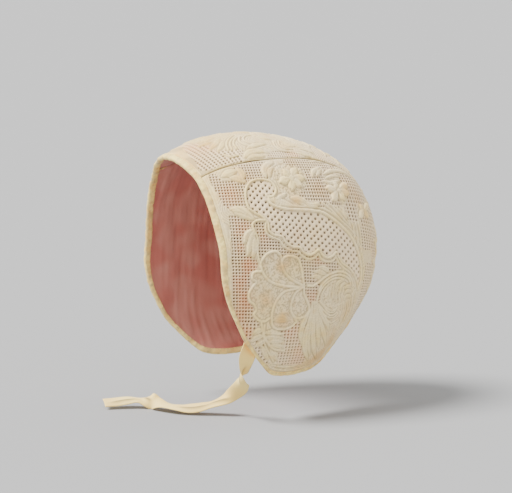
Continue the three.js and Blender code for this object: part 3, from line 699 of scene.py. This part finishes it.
EDGE_KEYS = np.linspace(0, LAST, 420)
EDGE_ANGLES = through(EDGE_ROWS, 1, EDGE_KEYS)
EDGE_LEANS = through(EDGE_ROWS, 2, EDGE_KEYS)
EDGE_LINE = dome(EDGE_ANGLES, EDGE_LEANS)


def from_edge(points):
    """Distance from the cap's edge, and the edge row that lies nearest."""
    gap, nearest = off_line(EDGE_LINE, points.reshape(-1, 3))
    return gap.reshape(points.shape[:-1]), EDGE_KEYS[nearest].reshape(points.shape[:-1])


# The cheek's binding is turned further in, so less of it shows outside
FOREHEAD_BINDING = 3.7
CHEEK_BINDING = 2.0
LOBE_BINDING = 3.1
CHEEK_ROWS = (6.2, 8.7)
LOBE_ROWS = (10.8, 12.4)


def binding_width(row):
    cheek = smoothstep(*CHEEK_ROWS, row)
    lobe = smoothstep(*LOBE_ROWS, row)
    return FOREHEAD_BINDING + (CHEEK_BINDING - FOREHEAD_BINDING) * cheek + (
        LOBE_BINDING - CHEEK_BINDING) * lobe


def seam_lean(angle):
    return np.degrees(np.arccos(through(STRIP, 1, angle) * STRIP_WIDTH / CAP_WIDTH))


STROKE_TOP = {"cord": 0.62, "rib": 0.58, "petal": 0.85, "striped": 0.60, "leaf": 0.60}
FAR = 9.0
STROKE_REACH = 8                  # echo lines follow a stroke this far past its edge
SPINE_HALF = 0.35
VEIN_DEPTH = 0.30
STRIPE_STEP = 1.75
BARB_STEP = 1.7


class Field:
    """What the strokes leave on a net of places: height, cover, grooves, veins, nearness."""

    def __init__(self, x, y):
        self.x = x
        self.y = y
        self.relief = np.zeros(x.shape)
        self.near = np.full(x.shape, FAR)
        self.cover = np.zeros(x.shape, bool)
        self.groove = np.zeros(x.shape)
        self.vein = np.zeros(x.shape)

    def stroke(self, kind, width, points):
        line, _, length = curve_through(points, 12 * len(points))
        reach = width / 2 + STROKE_REACH
        low = line.min(0) - reach
        high = line.max(0) + reach
        box = (self.x > low[0]) & (self.x < high[0]) & (self.y > low[1]) & (self.y < high[1])
        if not box.any():
            return
        gap, nearest = off_line(line, np.stack([self.x[box], self.y[box]], -1))
        share = nearest / (len(line) - 1)
        along = np.clip(share, 0.02, 0.98)
        spine = np.exp(-(gap / SPINE_HALF)**2)
        taper = np.ones(share.shape)
        vein = np.zeros(share.shape)
        if kind == "rib":
            taper = np.sin(np.pi * along)**0.3
        elif kind == "petal":
            taper = np.sin(np.pi * along**1.5)**0.45
            vein = spine * smoothstep(0.9, 0.3, share)
        elif kind != "cord":
            taper = np.sin(np.pi * along**0.85)**0.6
            if kind == "striped":
                stripe = (gap + 0.3 * share * width) / STRIPE_STEP
                vein = 0.5 + 0.5 * np.cos(2 * np.pi * stripe)
            else:
                barb = (share * length + 0.8 * gap) / BARB_STEP
                vein = np.maximum(0.4 + 0.4 * np.cos(2 * np.pi * barb), spine)
        half = width / 2 * taper
        inner = np.clip(1 - (gap / np.maximum(half, 0.1))**2, 0, 1)
        top = STROKE_TOP[kind] * inner**0.5 - VEIN_DEPTH * vein * inner
        height = np.where(gap < half, top, 0)
        relief = self.relief[box]
        self.vein[box] = np.where(height > relief, vein * inner, self.vein[box])
        self.relief[box] = np.maximum(relief, height)
        self.cover[box] |= gap < half + 0.35
        self.near[box] = np.minimum(self.near[box], np.abs(gap - half))
        rim = np.exp(-((gap - half - 0.15) / 0.33)**2)
        self.groove[box] = np.where(gap < half - 0.4, 0, np.maximum(self.groove[box], rim))


def blur(a, times):
    for _ in range(times):
        p = np.pad(a, 1, mode="edge")
        a = (p[:-2, 1:-1] + p[2:, 1:-1] + p[1:-1, :-2] + p[1:-1, 2:] + 2 * a) / 6
    return a


# Nets are laid out in cells of the quilt's own net of places
NET_SPREAD = 1.4                  # they run this far past their outlines, up to the motifs
FINE_CELLS = 4
WIDE_FROM = 34                    # the net's columns stand further apart behind this line
LOW_NET = -16                     # and a little further apart below this one
COARSE_CELLS = 10
COARSE_ROWS = 4.45
# Heights in millimetres
GROUND = -0.05
NET_DROP = 0.12
DOTTED_DROP = 0.10
ECHO_HEIGHT = 0.26
ECHO_STEP = 1.35
GROOVE_DEPTH = 0.16
SWELL = 0.5
DOT_DEPTH = 0.35
FINE_DEPTH = 0.9
COARSE_DEPTH = 1.0
CORNER_DEPTH = 0.55
GRAIN_HEIGHT = 0.07
# Shares of a colour laid over the cotton
RIM = 0.32                        # darkness of a fine hole's rim
STAINED = 0.85
BLUSHED = 0.62
PINK_NET = 0.45
PINK_GROUND = 0.15
YELLOWED = 0.65
FLECKED = 0.26
# Shares of painted shade: in hollows, in the dotted ground's pits, in the echo lines' troughs and in the
# veins
CAVITY_SHADE = 0.85
DOT_SHADE = 0.68
LINE_SHADE = 0.55
VEIN_SHADE = 0.42


def spot(x, y, place, uneven, seed):
    """Strength of a round spot with an uneven edge."""
    u, v, radius, strength = place
    r = np.hypot(x - u, y - v) * (1 + uneven * (noise(x, y, 3, seed) - 0.5))
    return strength * np.exp(-(r / radius)**2)


def quilt(x, y, i, j, chart, yellow, allowed, seed):
    """Height and paint of a quilted layer over a net of places, with painted shade in its hollows, grooves
    and holes.
    """
    strokes, areas, stains, blush = chart
    field = Field(x, y)
    for kind, width, points in strokes:
        field.stroke(kind, width, points)
    spots = np.stack([x, y], -1).reshape(-1, 2)
    masks = {}
    for kind, polygons in areas.items():
        masks[kind] = np.zeros(x.shape, bool)
        for polygon in polygons:
            masks[kind] |= inside(polygon, x, y)
            if kind == "fine":
                ring, _, _ = curve_through(polygon + polygon[:1], 12 * len(polygon))
                masks[kind] |= off_line(ring, spots)[0].reshape(x.shape) < NET_SPREAD
    coarse = masks["coarse"]
    stipple = masks["stipple"]
    fine = masks["fine"] & ~coarse & ~stipple
    netted = fine | coarse
    bare = ~field.cover
    open_ground = allowed & bare
    plain = open_ground & ~netted & ~stipple

    row = np.round(j / COARSE_ROWS)
    off_row = np.abs(j - np.round(row * COARSE_ROWS))
    shift = (i + np.where(row % 2 == 1, COARSE_CELLS // 2, 0)) % COARSE_CELLS
    coarse_hole = coarse & open_ground & (off_row <= 1) & (shift <= 2)
    corner = coarse_hole & (off_row == 1) & (shift != 1)
    wide = np.where(x > WIDE_FROM, 1, 0)
    low = np.where(y < LOW_NET, 1, 0)
    at_column = i % (FINE_CELLS + np.maximum(2 * wide, low))
    at_row = j % FINE_CELLS
    fine_net = fine & open_ground
    fine_hole = fine_net & (at_column < 2 + wide) & (at_row < 2)
    fine_rim = fine_net & ~fine_hole & (at_column < 3 + wide) & (at_row < 3)

    wobble = noise(x, y, 9, seed) - 0.5
    echo = np.cos(2 * np.pi * (field.near + 0.8 * wobble) / ECHO_STEP)
    dots = np.where(stipple & bare, smoothstep(0.50, 0.74, noise(x, y, 0.60, seed + 1)), 0)
    ground = GROUND + np.where(plain, ECHO_HEIGHT * echo, 0)
    ground -= np.where(stipple & bare, DOTTED_DROP, 0)
    ground -= np.where(netted & bare, NET_DROP, 0)
    height = blur(np.where(field.relief > 0.02, field.relief, ground), 1)
    height -= GROOVE_DEPTH * field.groove
    height += SWELL * (noise(x, y, 17, seed + 2) - 0.5)
    cavity = blur(height, 4) - height
    grain = noise(x, y, 0.62, seed + 7) - 0.5
    height -= DOT_DEPTH * dots
    height -= np.where(fine_hole, FINE_DEPTH, 0)
    height -= np.where(coarse_hole, np.where(corner, CORNER_DEPTH, COARSE_DEPTH), 0)
    height += GRAIN_HEIGHT * grain

    patch = cloudy(x, y, 16, seed + 3) * 0.6 + cloudy(x, y, 5, seed + 4) * 0.4
    paint = CREAM + np.zeros(x.shape + (3,))
    paint = mix(paint, YELLOW, YELLOWED * smoothstep(0.40, 0.70, patch + yellow))
    paint = mix(paint, STAIN, 0.35 * yellow)
    paint = mix(paint, STAIN, FLECKED * smoothstep(0.50, 0.72, cloudy(x, y, 3, seed + 10)))
    for place in stains:
        paint = mix(paint, STAIN, STAINED * spot(x, y, place, 0.5, seed + 5))
    paint = mix(paint, PINK, np.where(open_ground, np.where(netted, PINK_NET, PINK_GROUND), 0))
    # Painted shade: the echo lines' troughs, the low plain and dotted ground, the dotted ground's pits and
    # the veins are darkened
    lines = np.where(plain, smoothstep(0.2, 1.0, -echo), 0)
    paint = paint * np.where(plain | stipple, 0.94, 1.0)[..., None]
    paint = mix(paint, SHADE_AND_SPECK_BROWN, LINE_SHADE * lines + DOT_SHADE * dots + VEIN_SHADE * field.vein)
    warm = np.zeros(x.shape)
    seen = np.where(netted, 1.0, 0.35) * open_ground
    for place in blush:
        tint = spot(x, y, place, 0.6, seed + 6)
        warm = np.maximum(warm, tint)
        paint = mix(paint, BLUSH, BLUSHED * tint * seen)
    thread = noise(x * 3, y, 1.1, seed + 8) - 0.5
    paint = paint * (1 + 0.09 * grain + 0.07 * thread)[..., None]
    # Painted shade in hollows and in the grooves round the motifs
    shade = CAVITY_SHADE * smoothstep(0.0, 0.26, cavity) + 0.16 * field.groove
    paint = mix(paint, SHADE_AND_SPECK_BROWN, shade)
    # Holes show the lining painted dark as its shade; the cells round a fine hole get a little of it, so
    # the hole looks wider
    depth = 0.84 + 0.16 * smoothstep(0.3, 0.7, noise(x, y, 2.6, seed + 9))
    hole_shade = mix(FINE_HOLE_AND_CREASE_SHADE + 0 * paint, FRONT_HOLE_SHADE, smoothstep(0.1, 0.5, warm))
    paint = mix(paint, hole_shade, np.where(fine_hole, depth, 0.0) + np.where(fine_rim, RIM, 0.0))
    paint = mix(paint, COARSE_HOLE_SHADE, np.where(coarse_hole, np.where(corner, 0.6, 0.95), 0.0))
    return height, paint


def sheet_from(name, base, height, paint, keep, flip, material, node):
    """Mesh over the kept cells of a net, raised by a height along the net's own normals."""
    du = np.gradient(base, axis=0)
    dv = np.gradient(base, axis=1)
    normal = unit(np.cross(du, dv))
    if flip:
        normal = -normal
    points = base + normal * height[..., None]
    used = keep[:-1, :-1] & keep[1:, :-1] & keep[1:, 1:] & keep[:-1, 1:]
    index = np.arange(keep.size).reshape(keep.shape)
    quads = np.stack([index[:-1, :-1], index[1:, :-1], index[1:, 1:], index[:-1, 1:]], -1)[used]
    if flip:
        quads = quads[:, ::-1]
    numbers, again = np.unique(quads, return_inverse=True)
    return make_mesh(name, points.reshape(-1, 3)[numbers], again.reshape(-1, 4),
                     paint.reshape(-1, 3)[numbers], material, node)


# The net's rows lie level on the worn cap, so they dip a little across the flat pattern
LATTICE_U = -45
LATTICE_DIP = 0.055
LATTICE_BEND = 0.0006
LOBE_STRETCH = 0.10               # cells grow this much towards the lobe
BACK_STRETCH = 0.10               # and this much behind the ear
QUILT_CELL = 0.45
LINING_CELL = 0.9
SIDE_U = (-66, 92)
SIDE_V = (-72, 96)
STRIP_P = (-170, 76)
STRIP_Q = 34
FAR_ARC = 140
FRONT_ROWS = 6                    # edge rows up to here bound the strip's front
NAPE_ROWS = 15.5                  # and those from here on its nape


def side_net(cell):
    """Net over a side panel: numbers, flat places, base points, way to the edge and the seam."""
    i = np.arange(int(SIDE_U[0] / cell), int(SIDE_U[1] / cell))
    j = np.arange(int(SIDE_V[0] / cell), int(SIDE_V[1] / cell))
    level = j * cell
    level = level + LOBE_STRETCH * np.where(level < 0, level, 0) * smoothstep(0, -30, level)
    i, level = np.meshgrid(i, level, indexing="ij")
    j = np.broadcast_to(j, i.shape)
    u = i * cell
    u = u * (1 + BACK_STRETCH * smoothstep(-10, 15, u))
    du = u - LATTICE_U
    dip = (LATTICE_DIP * du + LATTICE_BEND * du**2) * (1 - 0.8 * smoothstep(40, 70, level))
    v = level - dip
    angle = np.degrees(np.arctan2(v, u))
    base = dome(angle, lean_at(angle, np.hypot(u, v)))
    to_edge, row = from_edge(base)
    edge_way = meridian(EDGE_ANGLES, EDGE_LEANS)
    outline = np.stack([edge_way * np.cos(np.radians(EDGE_ANGLES)),
                        edge_way * np.sin(np.radians(EDGE_ANGLES))], -1)
    # The edge's outline is closed by an arc far beyond the crown seam
    arc = np.radians(np.linspace(340, 491, 40))
    far = FAR_ARC * np.stack([np.cos(arc), np.sin(arc)], -1)
    within = inside([tuple(p) for p in np.vstack([outline, far])], u, v)
    wrapped = (angle + 90) % 360 - 90
    to_seam = meridian(wrapped, seam_lean(wrapped)) - np.hypot(u, v)
    return i, j, u, v, base, np.where(within, to_edge, -to_edge), row, to_seam


def strip_net(cell):
    """The same over the crown strip: p along the midline from above the ear, q across it."""
    i = np.arange(int(STRIP_P[0] / cell), int(STRIP_P[1] / cell))
    j = np.arange(-int(STRIP_Q / cell), int(STRIP_Q / cell) + 1)
    i, j = np.meshgrid(i, j, indexing="ij")
    p = i * cell
    q = j * cell
    fine_angle = np.linspace(-30, 140, 1700)
    middle = dome(fine_angle, np.full(fine_angle.size, 90.0))
    run = np.concatenate([[0], np.cumsum(np.linalg.norm(np.diff(middle, axis=0), axis=1))])
    run -= np.interp(90, fine_angle, run)
    angle = np.interp(p, run, fine_angle)
    full = meridian(angle, np.full(angle.shape, 90.0))
    lean = lean_at(angle, full - np.abs(q))
    base = dome(angle, lean)
    base[..., 0] = np.where(q < 0, -base[..., 0], base[..., 0])
    to_edge, row = from_edge(np.concatenate([np.abs(base[..., :1]), base[..., 1:]], -1))
    fore = EDGE_KEYS < FRONT_ROWS
    rear = EDGE_KEYS > NAPE_ROWS
    front = np.interp(-lean, -EDGE_LEANS[fore], EDGE_ANGLES[fore])
    nape = np.interp(lean, EDGE_LEANS[rear], EDGE_ANGLES[rear]) - 360
    within = (angle < front) & (angle > nape)
    to_seam = full - meridian(angle, seam_lean(angle)) - np.abs(q)
    return i, j, p, q, base, np.where(within, to_edge, -to_edge), row, to_seam


UNDER_BINDING = 1.3
PAST_SEAM = 1.2
SEAM_MARGIN = 0.9                 # no net this near a seam
STRIP_MARGIN = 1.2                # nor this near the binding on the strip
SIDE_MARGIN = 2.6                 # or on a side panel's forehead
CHEEK_MARGIN = 0.4
MARGIN_ROWS = (5.8, 7.6)
TUCKED = -0.25                    # height of the cloth under the binding
STITCH_OFF = 1.6
STITCH_DEPTH = 0.22


def finish_edges(height, paint, to_edge, to_seam, width, stitches):
    """Lays a quilted layer under the binding, sews along it and drops it into the seam, with painted shade
    along the stitching, the binding's edge and the seam.
    """
    calm = smoothstep(0, 1.5, to_edge - width)
    height = height * calm + (1 - calm) * TUCKED
    height -= STITCH_DEPTH * stitches
    height += -0.75 * np.exp(-(np.maximum(to_seam, 0) / 0.75)**2) + 0.9 * np.minimum(to_seam, 0)
    # Painted shade along the stitching, the binding's edge and the seam
    paint = mix(paint, SHADE_AND_SPECK_BROWN, 0.35 * stitches)
    paint = mix(paint, SHADE_AND_SPECK_BROWN, 0.6 * np.exp(-((to_edge - width) / 0.45)**2))
    paint = mix(paint, SEAM_SHADE, 0.9 * np.exp(-(to_seam / 0.55)**2))
    return height, paint


def side_panels():
    i, j, u, v, base, to_edge, row, to_seam = side_net(QUILT_CELL)
    width = binding_width(row)
    margin = SIDE_MARGIN - (SIDE_MARGIN - CHEEK_MARGIN) * smoothstep(*MARGIN_ROWS, row)
    allowed = (to_edge > width + margin) & (to_seam > SEAM_MARGIN)
    keep = (to_edge > UNDER_BINDING) & (to_seam > -PAST_SEAM)
    stitches = np.exp(-((to_edge - width - STITCH_OFF) / 0.35)**2) * (margin > 1.5)
    yellow = 0.2 * smoothstep(-15, -45, u) * smoothstep(30, 60, v)
    chart = (SIDE_STROKES, SIDE_AREAS, SIDE_STAINS, SIDE_BLUSH)
    for side, sign, seed in (("left", 1, 20), ("right", -1, 60)):
        height, paint = quilt(u, v, i, j, chart, yellow, allowed, seed)
        height, paint = finish_edges(height, paint, to_edge, to_seam, width, stitches)
        sheet_from("side_panel_%s_cloth" % side, base * [sign, 1, 1], height, paint, keep,
                   sign < 0, cotton, "side_panel_" + side)


def mirrored(points):
    return [(x, -y) for x, y in points]


def crown_strip():
    i, j, p, q, base, to_edge, row, to_seam = strip_net(QUILT_CELL)
    width = binding_width(row)
    allowed = (to_edge > width + STRIP_MARGIN) & (to_seam > SEAM_MARGIN)
    keep = (to_edge > UNDER_BINDING) & (to_seam > -PAST_SEAM)
    strokes = STRIP_STROKES + [
        (kind, size, mirrored(points)) for kind, size, points in STRIP_STROKES]
    areas = {kind: own + [mirrored(points) for points in own] for kind, own in STRIP_AREAS.items()}
    yellow = 0.35 * smoothstep(5, 45, p)
    chart = (strokes, areas, STRIP_STAINS, STRIP_BLUSH)
    height, paint = quilt(p, q, i, j, chart, yellow, allowed, 90)
    height, paint = finish_edges(height, paint, to_edge, to_seam, width, 0 * p)
    sheet_from("crown_strip_cloth", base, height, paint, keep, False, cotton, "crown_strip")


# Linings: silk sheets behind the quilt, seen from inside
LINING_DEPTH = 2.4
LINING_RISE = 0.9                 # less deep where the binding holds it
LINING_MARGIN = 1.6
LINING_PAST_SEAM = 0.8


def lining(name, x, y, base, to_edge, to_seam, flip, seed):
    height = -LINING_DEPTH + LINING_RISE * (1 - smoothstep(2, 14, to_edge))
    height += 0.9 * (cloudy(x, y, 12, seed) - 0.5)
    folds = noise(x * 1.6 + 6 * noise(x, y, 25, seed + 3), y * 0.22, 4.2, seed + 1) - 0.5
    gathers = noise(x + y, x - y, 3.0, seed + 4) - 0.5
    height += 0.8 * folds + 0.6 * gathers * np.exp(-to_edge / 7)
    height += 0.8 * np.exp(-(np.maximum(to_seam, 0) / 1.4)**2)
    paint = ROSE + np.zeros(x.shape + (3,))
    paint = mix(paint, ROSE_PALE, smoothstep(0.3, 0.7, cloudy(x, y, 14, seed + 2)))
    # Painted shade in the folds' hollows and along the seams
    paint = mix(paint, ROSE * 0.5, 0.22 * smoothstep(0.1, -0.4, folds))
    paint = mix(paint, ROSE * 0.4, 0.7 * np.exp(-(to_seam / 0.8)**2))
    keep = (to_edge > LINING_MARGIN) & (to_seam > -LINING_PAST_SEAM)
    sheet_from(name + "_cloth", base, height, paint, keep, flip, silk, name)


def linings():
    _, _, u, v, base, to_edge, _, to_seam = side_net(LINING_CELL)
    for side, sign, seed in (("left", 1, 120), ("right", -1, 140)):
        lining("lining_" + side, u, v, base * [sign, 1, 1], to_edge, to_seam, sign < 0, seed)
    _, _, p, q, base, to_edge, _, to_seam = strip_net(LINING_CELL)
    lining("lining_crown", p, q, base, to_edge, to_seam, False, 160)


# Bindings: ribbon folded over the edge. Share of the width inward, lift above the outer surface
BINDING_FORM = [
    (1.03, -0.30), (1.00, 0.08), (0.95, 0.26), (0.84, 0.30), (0.66, 0.36), (0.48, 0.38),
    (0.30, 0.34), (0.15, 0.16), (0.05, -0.22), (0.00, -0.95), (0.05, -1.65), (0.15, -2.02),
    (0.30, -2.20), (0.48, -2.34), (0.66, -2.46), (0.84, -2.55), (0.95, -2.60), (1.00, -2.50),
    (1.03, -2.10),
]


def spot_point(s):
    """Outer surface at a spot of a flat map: lean in radians, in the direction of the angle."""
    angle = np.degrees(np.arctan2(s[..., 1], s[..., 0]))
    return dome(angle, np.degrees(np.hypot(s[..., 0], s[..., 1])))


def spot_slopes(s):
    step = 1e-3
    a = (spot_point(s + [step, 0]) - spot_point(s - [step, 0])) / (2 * step)
    b = (spot_point(s + [0, step]) - spot_point(s - [0, step])) / (2 * step)
    return a, b


def shifted(s, way):
    """Spot that lies a way in space further on."""
    a, b = spot_slopes(s)
    aa, ab, bb = (a * a).sum(-1), (a * b).sum(-1), (b * b).sum(-1)
    pa, pb = (a * way).sum(-1), (b * way).sum(-1)
    det = aa * bb - ab * ab
    return s + np.stack([(bb * pa - ab * pb) / det, (aa * pb - ab * pa) / det], -1)


def edge_spot(row):
    angle = np.radians(through(EDGE_ROWS, 1, row))
    lean = np.radians(through(EDGE_ROWS, 2, row))
    return np.stack([lean * np.cos(angle), lean * np.sin(angle)], -1)


STITCH_PLACE = 0.84               # share of the ribbon's width
STITCH_STEP = 2.1


def binding(name, first, last, steps, puckered, seed):
    rows = np.linspace(first, last, steps + 1)
    own = np.where(rows < 0, -rows, np.minimum(rows, 2 * LAST - rows))
    mirror = np.where((rows < 0) | (rows > LAST), -1, 1)
    s = edge_spot(own)
    step = 1e-3
    along = spot_point(edge_spot(own + step)) - spot_point(edge_spot(own - step))
    a, b = spot_slopes(s)
    inward = unit(np.cross(unit(np.cross(a, b)), along))
    width = binding_width(own)
    middle = spot_point(s)
    middle[:, 0] *= mirror
    run = np.concatenate([[0], np.cumsum(np.linalg.norm(np.diff(middle, axis=0), axis=1))])
    columns = []
    paints = []
    for k, (share, lift) in enumerate(BINDING_FORM):
        at = shifted(s, inward * (share * width)[:, None])
        a, b = spot_slopes(at)
        normal = unit(np.cross(a, b))
        bumps = noise(run, 0 * run + k * 0.22, 2.6, seed)
        fine_bumps = noise(run, 0 * run + k * 0.5, 1.3, seed + 3)
        pucker = puckered * (bumps - 0.5 + 0.6 * (fine_bumps - 0.5))
        stitch = 0.20 * np.exp(-((share - STITCH_PLACE) / 0.06)**2) * (
            0.5 + 0.5 * np.cos(2 * np.pi * run / STITCH_STEP))
        point = spot_point(at) + normal * (lift + pucker - stitch)[:, None]
        point[:, 0] *= mirror
        columns.append(point)
        stain = smoothstep(0.3, 0.9, noise(run, 0 * run + k * 0.6, 7, seed + 1))
        stain += 0.7 * smoothstep(0.45, 0.8, noise(run, 0 * run + k * 0.5, 2.2, seed + 4))
        speck = smoothstep(0.62, 0.9, noise(run, 0 * run + k * 0.7, 1.5, seed + 2))
        # Painted shade in the puckers' creases and the stitching; the specks are stains
        crease_shade = smoothstep(0.5, 0.05, bumps)
        paint = mix(RIBBON_CREAM + 0 * point, RIBBON_STAIN, 0.55 * stain + 0.35 * (share > 1))
        paint = mix(paint, SHADE_AND_SPECK_BROWN, 0.40 * crease_shade + 0.35 * speck)
        paints.append(mix(paint, SHADE_AND_SPECK_BROWN, 2.0 * stitch))
    ring = np.stack(columns, 1)
    _, quads = tube(len(rows), len(BINDING_FORM))
    make_mesh(name + "_cloth", ring.reshape(-1, 3), quads[:, [0, 3, 2, 1]],
              np.stack(paints, 1).reshape(-1, 3), ribbon, name)


side_panels()
crown_strip()
linings()
binding("face_binding", -TIE_ROW, TIE_ROW, 520, 0.75, 200)
binding("neck_binding", TIE_ROW, 2 * LAST - TIE_ROW, 420, 0.4, 240)


# Floor and light
FLOOR = -162.4 * MM
FLOOR_SIZE = 60
FLOOR_GREY = 0.312
pale = bpy.data.materials.new("pale_floor")
pale.use_nodes = True
shader = pale.node_tree.nodes["Principled BSDF"]
shader.inputs["Base Color"].default_value = (FLOOR_GREY, FLOOR_GREY, FLOOR_GREY, 1)
shader.inputs["Roughness"].default_value = 0.9
shader.inputs["Specular IOR Level"].default_value = 0.1
floor_mesh = bpy.data.meshes.new("floor")
floor_mesh.from_pydata(
    [(x * FLOOR_SIZE, y * FLOOR_SIZE, FLOOR) for x, y in ((-1, -1), (1, -1), (1, 1), (-1, 1))],
    [], [(0, 1, 2, 3)])
floor_mesh.materials.append(pale)
floor = bpy.data.objects.new("floor", floor_mesh)
bpy.context.scene.collection.objects.link(floor)

world = bpy.data.worlds.new("studio")
world.use_nodes = True
world.node_tree.nodes["Background"].inputs["Color"].default_value = (1, 1, 1, 1)
world.node_tree.nodes["Background"].inputs["Strength"].default_value = 1.12
bpy.context.scene.world = world


def sun(name, side, height, front, strength, spread):
    """Soft light from a direction: to the camera's right, straight up, towards the camera."""
    data = bpy.data.lights.new(name, "SUN")
    data.energy = strength
    data.angle = np.radians(spread)
    lamp = bpy.data.objects.new(name, data)
    towards = unit(side * right + height * np.array([0, 0, 1]) + front * back)
    x = unit(np.cross([0, 0, 1], towards))
    turn = np.eye(4)
    turn[:3, :3] = np.stack([x, np.cross(towards, x), towards], 1)
    lamp.matrix_world = Matrix(turn.tolist())
    bpy.context.scene.collection.objects.link(lamp)


sun("key", -0.6, 0.85, 0.15, 8.1, 22)
sun("fill", 0.5, 0.25, 0.9, 0.8, 60)
